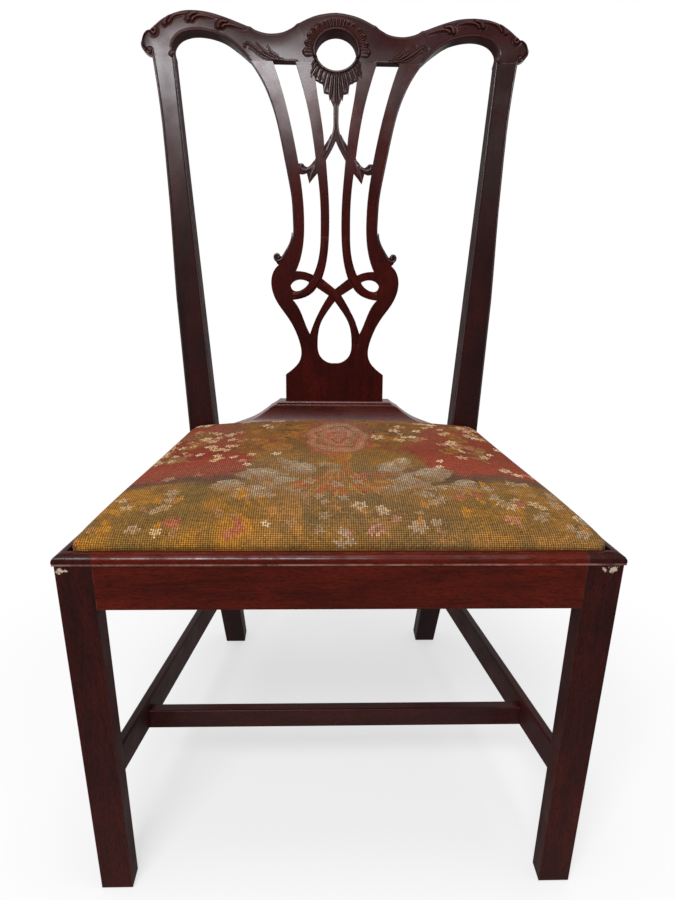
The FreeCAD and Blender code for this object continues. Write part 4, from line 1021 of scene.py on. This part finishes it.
print("relief from", round(relief.min(), 2), "to", round(relief.max(), 2), "mm")

# %% Crest rail: leaves along the humps
# Each is a plump bud and a long tip behind it.
LEAVES = [([(220.2, 951.8), (219, 954.6), (216.6, 957.8), (212.4, 960.6)],
           [(214.5, 953.6), (212, 957.4), (207.4, 960.8), (199.5, 963), (190, 963.6)]),
          ([(190, 957.8), (189, 960.4), (186, 962.6), (180.4, 963.8)],
           [(185, 956.6), (182.4, 959.6), (176, 961.4), (166.5, 961), (157, 958.6)]),
          ([(151.6, 950.6), (150.4, 953.6), (147, 955.6), (141, 955.2)],
           [(146.8, 949.6), (143, 952.2), (135.6, 952.2), (126, 949.8), (117.5, 947.4)])]
for bud, tip in LEAVES:
    away, along, side = near(mx, front_z, through(tip))
    taper = np.clip(1.1 - along, 0, 1) ** 0.7
    relief += 2.0 * hump(away / (2.6 * taper + 0.01)) * taper
    relief -= 1.7 * hump((away - 2.4) / 1.5) * (side > 0) * taper
    away, along, _ = near(mx, front_z, through(bud))
    girth = 3.2 - 2.0 * along
    relief += 3.0 * bead(away / girth) - 1.2 * hump((away - girth - 0.7) / 1.1)

# The spray at the foot of each arch: its strokes, with their widths and heights.
STROKES = [([(70, 912.8), (80, 914), (90, 917.5), (100, 923), (108, 928.6), (114, 931.6), (118.5, 930.6),
             (118, 927.6)], 1.7, 1.5),
           ([(76, 915), (85, 918.5), (93, 923.5), (99, 928.5), (102.5, 932.5)], 1.5, 1.3),
           ([(77, 917.5), (82, 920.5), (86, 924), (88.5, 928.5)], 1.3, 1.1),
           ([(84, 913.6), (93, 915.6), (101, 919.6), (108, 924.4), (113, 926.4)], 1.2, 0.9)]
for points, width, height in STROKES:
    away, along, _ = near(mx, front_z, through(points))
    reach = width * (1.0 - 0.4 * along)
    relief += 1.6 * height * hump(away / (reach * 0.8)) - 0.8 * hump((away - reach * 1.15) / (reach * 0.5))
print("relief from", round(relief.min(), 2), "to", round(relief.max(), 2), "mm")

# %% [markdown]
# The shell is drawn round the oval hole, by angle and by how far out from the hole's rim: a smooth
# collar, a ring of fluted lobes that end in small knobs, and a comb of fine flutes at the very top.

# %% Crest rail: the shell over the oval
polar = np.hypot(front_x / hole_x, (front_z - hole_middle) / hole_z)    # 1 on the rim of the hole
turn = np.degrees(np.arctan2((front_z - hole_middle) / hole_z, mx / hole_x))
relief = np.where(polar < 1.66, relief * slope(polar, 1.55, 0.11), relief)
relief += 4.0 * bead((polar - 1.09) / 0.095) * slope(turn, -20, 8)
relief += 2.8 * bead((polar - 1.075) / 0.075) * slope(-turn, 12, 6)
past_collar = slope(polar, 1.17, 0.05)
LOBES = ((-3, 9.5, 1.66), (14, 8, 1.60), (29, 7.5, 1.63), (43, 6.5, 1.62), (56, 6, 1.63), (67, 5, 1.60))
for angle, half, reach in LOBES:     # the middle and half width of each, in degrees, and how far out it goes
    q = (turn - angle) / half
    rim = reach - 0.16 * q ** 2 - 0.05 * np.clip(q, 0, 1)
    lobe = past_collar * np.clip((rim - polar) / 0.05, 0, 1) * np.clip((1.02 - np.abs(q)) / 0.16, 0, 1)
    relief += (0.6 + 2.6 * slope(polar, 1.2, 0.36) + 0.55 * np.cos(q * 8.5)) * lobe
    knob_x = math.cos(math.radians(angle)) * hole_x * (reach - 0.10)
    knob_z = hole_middle + math.sin(math.radians(angle)) * hole_z * (reach - 0.10)
    relief += 1.5 * hump(np.hypot(mx - knob_x, front_z - knob_z) / 2.8)
q = (90 - turn) / 18
comb = past_collar * np.clip((1.62 - polar) / 0.07, 0, 1) * np.clip((1 - q) / 0.12, 0, 1) * (q < 1)
relief += (1.5 + 1.15 * np.cos(np.radians((90 - turn) * 360 / 7.2))) * comb
relief += 3.4 * hump(np.hypot(mx - 25.6, front_z - 918.2) / 3.3)        # a knob at each end of the collar
print("shell carved; highest", round(relief.max(), 2), "mm")

# %% [markdown]
# Now the ribbon is carried on over the top edge, down the plain back and under the lower edge to
# where it began, so that the crest rail becomes a closed piece. The two humps were cut by hand and
# differ a little: the left one stands two millimetres higher than drawn, the right one a little lower.

# %% Crest rail: wrap it round to the back
hand = np.interp(low_points[:, 0],
                 (-252, -244, -190, -150, -100, -40, 0, 20, 33, 100, 124, 150, 163, 190, 240, 252),
                 (0, 2.0, 2.1, 1.3, 0.9, 1.0, 1.0, 0.45, 0.15, 0.1, 0.4, 0.4, 0, -1.0, -0.9, 0))
front_z = front_z + hand * v[:, None]
high_points[:, 1] += hand - lumps(np.abs(high_points[:, 0]))


def back_depth(x, z):
    """The board is pared thinner behind the straps and under the ears."""
    x = np.abs(x)
    middle = np.where(x < 150, 14.5 + 13.5 * slope(z, 912, 18), 28.0)
    outer = np.where(x > 237.5, 9 + 19 * slope(z, 912, 24), 28.0)
    return np.minimum(middle, outer)


def back_row(t, inset):
    """A row of the back face, t of the way from the lower edge to the top, let in from the full depth."""
    x, z = (low_points + (high_points - low_points) * t).T
    return on_board(x, z, -(back_depth(x, z) - inset))


top_depth, foot_depth = back_depth(*high_points.T), back_depth(*low_points.T)
BACK_ROWS = ((1.0, 4.5), (0.995, 2.2), (0.97, 0.8), (0.9, 0.15), (0.75, 0), (0.6, 0), (0.45, 0), (0.3, 0),
             (0.15, 0), (0.06, 0.1), (0.02, 0.5), (0.0, 1.6))
around = [on_board(*high_points.T, relief[-1] * (1 - t) - t * top_depth * 0.5) for t in (0.4, 1.0)]
around += [back_row(t, inset) for t, inset in BACK_ROWS]
around += [on_board(*low_points.T, -foot_depth * t) for t in (0.7, 0.35, 0.1)]
around.append(on_board(*low_points.T, relief[0]))
spots = np.concatenate([on_board(front_x, front_z, relief), np.stack(around)])
crest = grid_piece("crest_rail_carved", spots, wood["crest"])
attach(crest, "chair_frame")
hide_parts("crest_rail")

# %% [markdown]
# ## The splat
# The splat is one thin board, sawn into straps that seem to pass over and under each other. The CAD
# board has the right outline, so a merged copy of it is kept, but its whole front, with the plain
# plate under the oval, is taken off and laid flat again. What a carver adds is laid on: each strap
# that passes over gets a thin raised ribbon with rounded edges, and the stem, leaves and scrolls are
# ribbons too, only narrower and higher.

# %% Splat: copy the board
bpy.ops.object.select_all(action="DESELECT")
board = nodes["splat"].copy()
board.data = nodes["splat"].data.copy()
board.name = "splat_board"
bpy.context.scene.collection.objects.link(board)
board.data.transform(nodes["splat"].matrix_world)
board.matrix_world = Matrix.Identity(4)
bpy.context.view_layer.objects.active = board
board.select_set(True)
bpy.ops.object.mode_set(mode="EDIT")
bpy.ops.mesh.select_all(action="SELECT")
bpy.ops.mesh.remove_doubles(threshold=0.00001)
bpy.ops.mesh.select_mode(type="FACE")
bpy.ops.object.mode_set(mode="OBJECT")
print("board copied:", len(board.data.polygons), "faces")


# %% Splat: a flat front
def proud_of(spot):
    """How far a place stands out from the board's face, in millimetres."""
    _, y, z = spot * 1000
    return -(y + chair_middle_mm - seat_depth_mm - (z - rail_top_mm) * rake) / math.hypot(1, rake)


mesh = board.data
inwards = Vector(board_normal)
plate_foot, hair = 0.84, 0.03        # the plate lies above this height (m); a hair's breadth (mm)
proud = [proud_of(vertex.co) for vertex in mesh.vertices]
for polygon in mesh.polygons:
    in_front = min(proud[v] for v in polygon.vertices) > -hair
    polygon.select = in_front and (polygon.normal @ inwards < -0.99 or polygon.center.z > plate_foot)
bpy.ops.object.mode_set(mode="EDIT")
bpy.ops.mesh.delete(type="ONLY_FACE")
bpy.ops.object.mode_set(mode="OBJECT")
for vertex in mesh.vertices:
    if proud_of(vertex.co) > hair and vertex.co.z > plate_foot:
        vertex.co += inwards * proud_of(vertex.co) / 1000
bpy.ops.object.mode_set(mode="EDIT")
bpy.ops.mesh.select_mode(type="VERT")
bpy.ops.mesh.select_all(action="SELECT")
bpy.ops.mesh.delete_loose()
bpy.ops.mesh.select_all(action="SELECT")
bpy.ops.mesh.remove_doubles(threshold=0.00002)
bpy.ops.mesh.dissolve_degenerate(threshold=0.00002)
select_open_edges()
bpy.ops.mesh.fill(use_beauty=True)
bpy.ops.mesh.select_all(action="SELECT")
bpy.ops.mesh.normals_make_consistent(inside=False)
bpy.ops.object.mode_set(mode="OBJECT")
bpy.ops.mesh.customdata_custom_splitnormals_clear()
bpy.ops.object.shade_smooth_by_angle(angle=math.radians(35))
mesh.materials.clear()
mesh.materials.append(wood["splat"])
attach(board, "chair_frame")
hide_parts("splat")
print("splat board faces:", len(mesh.polygons))


# %% Ribbons of wood
def ribbon(name, points, width, height, material, mirror=True, flat=False, groove=0.0, deep=0.3,
           step=0.8, sides=11):
    """A raised strip along a drawn line. Width and height are numbers, or lists of (share along, size)."""
    line = through(points, step)
    t = np.linspace(0, 1, len(line))
    along = np.gradient(line, axis=0)
    along /= np.hypot(*along.T)[:, None]
    wide, high = (np.interp(t, *zip(*size)) if isinstance(size, list) else np.full(len(t), float(size))
                  for size in (width, height))
    u = np.linspace(-1, 1, sides)
    profile = np.clip((1 - np.abs(u)) / 0.2, 0, 1) if flat else np.sqrt(1 - u ** 2)
    profile = profile - groove * np.exp(-(u / 0.25) ** 2)
    proud = np.column_stack([high[:, None] * profile, np.full((len(t), 2), -deep), high * profile[0]])
    u = np.append(u, (1, -1, -1))    # the strip's sides go down into the board, and close it below
    z = line[:, 1:] + along[:, :1] * wide[:, None] * u / 2
    made = []
    for side in (1, -1) if mirror else (1,):
        x = (line[:, :1] - along[:, 1:] * wide[:, None] * u / 2) * side
        ending = ("_left" if side < 0 else "_right") if mirror else ""
        made.append(grid_piece(name + ending, on_board(x, z, proud), material))
    return made


def join(name, pieces):
    """Several small pieces of one carving become one piece."""
    bpy.ops.object.select_all(action="DESELECT")
    for piece in pieces:
        piece.select_set(True)
    bpy.context.view_layer.objects.active = pieces[0]
    bpy.ops.object.join()
    pieces[0].name = name
    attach(pieces[0], "chair_frame")
    print(name, "faces:", len(pieces[0].data.polygons))


carved_wood = mahogany("mahogany_carving", "Z", srgb(22, 7, 7), srgb(50, 17, 13), rough=0.24, gloss=0.32,
                       carved=True)
strap_wood = mahogany("mahogany_straps", "Z", srgb(31, 4, 3), srgb(74, 16, 9), gloss=0.04, flame=True)
bead_wood = mahogany("mahogany_beads", "Z", srgb(26, 8, 8), srgb(58, 21, 17), rough=0.25, gloss=0.35)
fade = [(0, -0.12), (0.35, 0.8), (0.72, 0.9), (1, -0.12)]
over = ribbon("strap", [(14.9, 705), (14.9, 690), (17.6, 669.5), (23.3, 651), (31.2, 638), (40.3, 628.2),
                        (50.5, 624.4), (62, 623.6)],
              [(0, 10.6), (0.5, 11), (0.75, 9.6), (1, 9)], fade, strap_wood, flat=True)
over += ribbon("strap_middle", [(-20, 640.5), (-12.6, 635.4), (0, 624.4), (15.4, 603.6), (24.4, 587.4),
                                (29.4, 568), (31, 552)],
               [(0, 9.6), (0.2, 9.8), (0.6, 9.2), (0.85, 9.5), (1, 9)], fade, strap_wood,
               mirror=False, flat=True)
join("splat_straps_over", over)

# %% Stem, leaves and scrolls
twigs = ribbon("stem", [(1.5, 864), (1.6, 850), (1.9, 838), (3.4, 829), (6.6, 820.5), (10.4, 812),
                        (14.2, 804.5), (18.5, 797)],
               [(0, 3.0), (0.5, 3.2), (0.75, 4.4), (1, 2.4)], [(0, 1.6), (0.5, 2.2), (0.85, 2.4), (1, -0.3)],
               carved_wood, groove=0.2)
twigs += ribbon("stem_edge", [(5.5, 826.5), (9.4, 819.5), (14.2, 812.6), (17.5, 806)],
                2.8, [(0, 0.6), (0.4, 2.2), (1, -0.3)], carved_wood)
twigs += ribbon("husk_tip", [(25.5, 797), (28.8, 789), (32.4, 780), (35.3, 769.2)],
                [(0, 3.5), (0.4, 6.2), (1, 1.6)], [(0, -0.3), (0.3, 2.6), (0.9, 1.8), (1, 0.8)],
                carved_wood, groove=0.3, deep=5)
twigs += ribbon("husk_curl", [(28, 794), (33, 787.4), (38.6, 783.6), (43.4, 783.4), (47, 786.2),
                              (46.2, 790), (43.4, 789)],
                [(0, 3), (0.4, 5), (1, 3)], [(0, -0.3), (0.3, 2.4), (1, 2.8)], carved_wood, groove=0.15, deep=5)
twigs += ribbon("husk_side", [(26.6, 790), (29, 783.6), (30, 777)],
                [(0, 3.4), (1, 1.4)], [(0, -0.2), (0.4, 1.9), (1, 0.9)], carved_wood, deep=5)
twigs += ribbon("scroll", [(58.9, 705), (60, 697), (62.8, 689), (67, 681.5), (71.6, 674), (75.6, 669.4),
                           (80, 668.8), (82.8, 672), (81.9, 675.8), (78.6, 676.6), (77, 674), (78.4, 672.3)],
                [(0, 1.2), (0.35, 2.4), (0.6, 3.6), (1, 3.8)], [(0, -0.3), (0.15, 0.8), (0.6, 1.9), (1, 2.6)],
                carved_wood, deep=7)
join("splat_stem_and_scrolls", twigs)

# %% Beads along the straps, knobs under the arches
beads = ribbon("strap_bead", [(110.6, 911), (96.6, 891), (86.4, 869.6), (78.2, 845.4), (72.7, 822), (67.3, 796),
                              (62.4, 771.6), (58.1, 746), (56.7, 722), (57, 703.6), (60.5, 690)],
               [(0, 2.0), (1, 1.2)], [(0, 0.7), (0.9, 0.6), (1, -0.2)], bead_wood, step=2.0, sides=7, deep=1.0)
knobs = ribbon("arch_knob", [(212.9, 922.6), (212.8, 920.6), (212.6, 918.4), (212.5, 916.2), (212.3, 914.2)],
               [(0, 2), (0.25, 7.4), (0.5, 9), (0.75, 7.4), (1, 2)],
               [(0, 0.3), (0.25, 1.9), (0.5, 2.5), (0.75, 1.9), (1, 0.3)], wood["crest"], step=0.5, deep=3)
join("arch_knobs", knobs)
join("edge_beads", beads)

# %% [markdown]
# Under the oval hangs a fan of leaf tips. It is laid out like a spider's web: lines run out from the
# oval's rim, and the outline says how far each one reaches. The inner lines make the rim's lower half.

# %% Leaf fan
FAN = [(29.5, 914.2), (33.0, 909), (31.6, 905.6), (33.8, 901), (33.2, 893.5), (29.2, 897.4), (27.2, 890.6),
       (24.2, 895.6), (21.8, 888), (18.4, 893.2), (17.2, 884), (15.8, 875.4), (11.4, 883.6), (9.8, 875),
       (8.4, 867.6), (5.4, 873.4), (4.2, 866), (0, 860.8)]
tips = np.array(FAN) - (0, hole_middle)
tip_angle, tip_reach = np.degrees(np.arctan2(-tips[:, 1], tips[:, 0])), np.hypot(*tips.T)
right_half = np.linspace(20.5, 90, 230)
angle = np.concatenate([right_half, 180 - right_half[-2::-1]])
half = np.minimum(angle, 180 - angle)
start = 1 / np.hypot(np.cos(np.radians(half)) / hole_x, np.sin(np.radians(half)) / hole_z)
share = np.concatenate([np.linspace(0, 0.97, 44), [0.99, 1.0, 1.0]])[:, None]
out = (np.interp(half, tip_angle, tip_reach) - start) * share           # from the oval's rim
radius = start + out
bent = half - 13 * share ** 1.5 * np.cos(np.radians(half))              # the leaf tips droop
leaf_middles = np.array([12, 20.5, 29.5, 39, 50, 61.5, 72, 81.5, 90])
off_middle = np.abs(bent[None] - leaf_middles[:, None, None]).min(axis=0)
leaf_width = 5.6                     # in degrees
veins = np.cos(np.radians(off_middle * 360 / leaf_width))
height = 0.7 + 3.1 * np.clip(1 - off_middle / leaf_width, 0, 1) ** 1.2 + 0.45 * veins * np.clip(share * 4, 0, 1)
height *= np.clip((out - 3.9) / 1.2, 0.12, 1) * (1 - 0.3 * share ** 3)
height += 3.3 * bead((out - 1.95) / 1.95)
height[-2] *= 0.4
height[-1] = -5.0                    # the last line goes down into the board
x = radius * np.cos(np.radians(angle))
z = hole_middle - radius * np.sin(np.radians(half))
join("splat_leaf_fan", [grid_piece("fan", on_board(x, z, height), carved_wood)])

# %% [markdown]
# ## Beads along the stiles
# A fine bead runs up both front edges of each stile, set off by a dark line inside it, a painted
# shade that stands for the groove beside the bead. Both are thin ribbons that follow the stile's drawn edges.

# %% Stile beads
# painted shade: a near-black material, varied by a fine noise, for the line where a groove's shade falls
groove_shade, tree = new_material("groove_shade")
dust = noise(tree, object_place(tree), 300.0, 3.0)
groove_shade_colour = ramp(tree, dust, (0.3, srgb(8, 4, 4)), (0.8, srgb(30, 14, 11)))
surface(tree, Base_Color=groove_shade_colour, Roughness=0.7, Specular_IOR_Level=0.1)
HOLLOW = ((0, 0), (0.385, 0), (0.51, 0.45), (0.645, 0.92), (0.722, 1), (0.853, 1), (0.947, 0.46), (1, 0))
shares = np.linspace(0.012, 1, 26)   # up the stile, from the rail's top to the crest rail
outer = 207.5 + 30 * shares - 3.9 * np.interp(shares, *zip(*HOLLOW))
inner = 169.8 + (209 - 169.8) * shares
heights = rail_top_mm + 480.5 * shares
trims = []
for edge_name, edge_x, inward in (("outer", outer, -1), ("inner", inner, 1)):
    trims += ribbon(f"bead_{edge_name}", list(zip(edge_x + inward * 1.3, heights)), 2.3, 0.75, bead_wood,
                    step=6, sides=7)
    # the dark line is painted shade for the groove beside the bead
    trims += ribbon(f"line_{edge_name}", list(zip(edge_x + inward * 3.0, heights)), 0.9, 0.06, groove_shade,
                    step=6, flat=True, sides=5)
join("stile_beads", trims)

# %% [markdown]
# ## Under the seat
# Nobody polishes what isn't seen. The loose seat's frame and the corner blocks are plain pale wood,
# dry and dusty. Three layers of cloth lie in and under the frame: jute webbing, which carries the
# sitter, a hessian sheet over it, and a black cotton cloth tacked below to catch dust.

# %% Plain wood and metal
def plain_wood(name, grain):
    material, tree = new_material(name)
    place = object_place(tree)
    turned = mapped(tree, place, turn=GRAIN[grain])
    rings = noise(tree, mapped(tree, turned, (5, 60, 60)), 1.0, 5.0, 0.6, 0.4)
    flecks = noise(tree, mapped(tree, turned, (110, 1400, 1400)), 1.0, 1.0)
    stain = noise(tree, place, 7.0, 5.0)
    colour = ramp(tree, rings, (0.35, srgb(128, 92, 58)), (0.65, srgb(178, 138, 94)))
    colour = laid_over(tree, colour, srgb(96, 62, 38), ramp(tree, flecks, (0.36, 1.0), (0.44, 0.0)), 0.5)
    colour = laid_over(tree, colour, srgb(92, 66, 44), ramp(tree, stain, (0.45, 0.0), (0.7, 1.0)), 0.5)
    rounded = node(tree, "Bevel", {"samples": 4}, Radius=0.0012).outputs[0]
    bump = node(tree, "Bump", Height=flecks, Normal=rounded, Strength=0.2, Distance=0.0004).outputs[0]
    surface(tree, Base_Color=colour, Roughness=0.72, Normal=bump, Specular_IOR_Level=0.25)
    return material


def metal(name, dark, light, roughness):
    material, tree = new_material(name)
    tarnish = noise(tree, object_place(tree), 420.0, 4.0)
    colour = ramp(tree, tarnish, (0.35, dark), (0.7, light))
    surface(tree, Base_Color=colour, Metallic=0.9, Roughness=roughness)
    return material


along_x, along_y = plain_wood("plain_wood_x", "X"), plain_wood("plain_wood_y", "Y")
for name in ("seat_frame_front", "seat_frame_rear", "corner_block_front_left", "corner_block_front_right",
             "corner_block_rear_left", "corner_block_rear_right"):
    paint(name, along_x)
for name in ("seat_frame_left", "seat_frame_right"):
    paint(name, along_y)
paint("corner_block_screws", metal("screw_steel", srgb(74, 66, 60), srgb(140, 134, 128), 0.42))
paint("seat_tacks", metal("tack_iron", srgb(26, 26, 30), srgb(70, 66, 66), 0.5))
print("plain wood and metal painted")

# %% [markdown]
# Every cloth is a plain weave, but the pitch of its threads and its colour differ. Each is drawn as a
# grid in millimetres, gets its thickness, and says which rails it is stretched over.

# %% Weaves
def cloth(name, pitch, dark, light, sheen=0.1):
    """Plain weave: two sets of threads that pass over and under each other."""
    material, tree = new_material(name)
    place = object_place(tree)
    parts = node(tree, "SeparateXYZ", Vector=place).outputs
    over = [maths(tree, "SINE", times(tree, part, math.pi / pitch)) for part in parts[:2]]
    weave = maths(tree, "MULTIPLY_ADD", times(tree, over[0], over[1]), 0.5, 0.5)
    uneven = noise(tree, place, 180.0, 4.0)
    light_and_dark = plus(tree, times(tree, weave, 0.6), times(tree, uneven, 0.4))
    bump = node(tree, "Bump", Height=weave, Strength=0.5, Distance=0.0004).outputs[0]
    colour = ramp(tree, light_and_dark, (0.3, dark), (0.75, light))
    surface(tree, Base_Color=colour, Roughness=0.95, Normal=bump, Specular_IOR_Level=0.15,
            Sheen_Weight=sheen, Sheen_Roughness=0.5)
    return material


jute = cloth("jute_webbing", 0.0024, srgb(92, 70, 42), srgb(158, 126, 84))
sacking = cloth("hessian", 0.0019, srgb(110, 84, 50), srgb(176, 144, 98))
black_cotton = cloth("black_cotton", 0.0007, srgb(20, 19, 20), srgb(48, 46, 47), 0.2)
print("three weaves ready")


def stretched(name, x, y, z, thickness, material, node_name):
    """A cloth from its places in millimetres."""
    piece = grid_piece(name, np.stack([x, y - chair_middle_mm, z], axis=2) / 1000, material)
    thick = piece.modifiers.new("thickness", "SOLIDIFY")
    thick.thickness, thick.offset = thickness, 0
    bpy.ops.object.modifier_apply(modifier=thick.name)
    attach(piece, "drop_in_seat")
    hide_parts(node_name)


def side_at(y, inset):
    """Half the width of something that keeps this far inside the seat rails' outer faces, in millimetres."""
    return 275 - 0.1709 * y - inset * 1.0145     # the slope of the sides, and how much longer a slanted step is


def sheet(name, front, back, inset, level, sag, material, node_name, spacing=6.0):
    """A cloth as wide as the chair is at each depth, sagging a little between its edges."""
    n_rows, n_columns = int((back - front) / spacing), int(2 * side_at(front, inset) / spacing)
    y = np.linspace(front, back, n_rows + 1)[:, None] * np.ones(n_columns + 1)
    share = np.linspace(-1, 1, n_columns + 1)[None, :] * np.ones((n_rows + 1, 1))
    x = share * side_at(y, inset)
    free = np.clip((1 - np.abs(share)) * 3.4, 0, 1) * np.clip(np.minimum(y - front, back - y) / 75, 0, 1)
    z = level - sag * free ** 0.7 + 0.12 * np.sin(x * 0.11 + y * 0.05) * free
    stretched(name, x, y, z, 0.0006, material, node_name)


sheet("seat_hessian_sheet", 22.2, 375.8, 22.2, 437.3, 0.5, sacking, "seat_hessian")
sheet("seat_dust_cloth", 36.2, 361.8, 36.2, 416.2, 2.2, black_cotton, "dust_cover")
print("sheets laid")

# %% Webbing
band, margin = 50, 24.2              # how wide a band is, and how far inside the rails' outer faces it ends
threads = np.linspace(-1, 1, 9)[None, :] * band / 2


def strap(name, start, end, middle, level, lengthwise, node_name):
    """One band, each of its threads from start to end. Its level rises and falls as it crosses the others."""
    t = np.linspace(0, 1, 90)[:, None]
    long, across = start + (end - start) * t, (threads + middle) * np.ones_like(t)
    x, y = (across, long) if lengthwise else (long, across)
    z = level + 0.18 * np.sin(t * math.pi * 8) * np.ones_like(threads)
    stretched(name, x, y, z, 0.0012, jute, node_name)


front_end, back_end = np.full_like(threads, margin), np.full_like(threads, 398 - margin)
for n, x in enumerate((-161.6, -53.9, 53.9, 161.6)):
    strap(f"webbing_long_{n + 1}", front_end, back_end, x, 434.8, True, "webbing_front_to_back")
for n, y in enumerate((49.2, 149.1, 248.9, 348.8)):
    reach = side_at(y + threads, margin)
    strap(f"webbing_cross_{n + 1}", -reach, reach, y, 436.2, False, "webbing_side_to_side")
print("webbing laid")
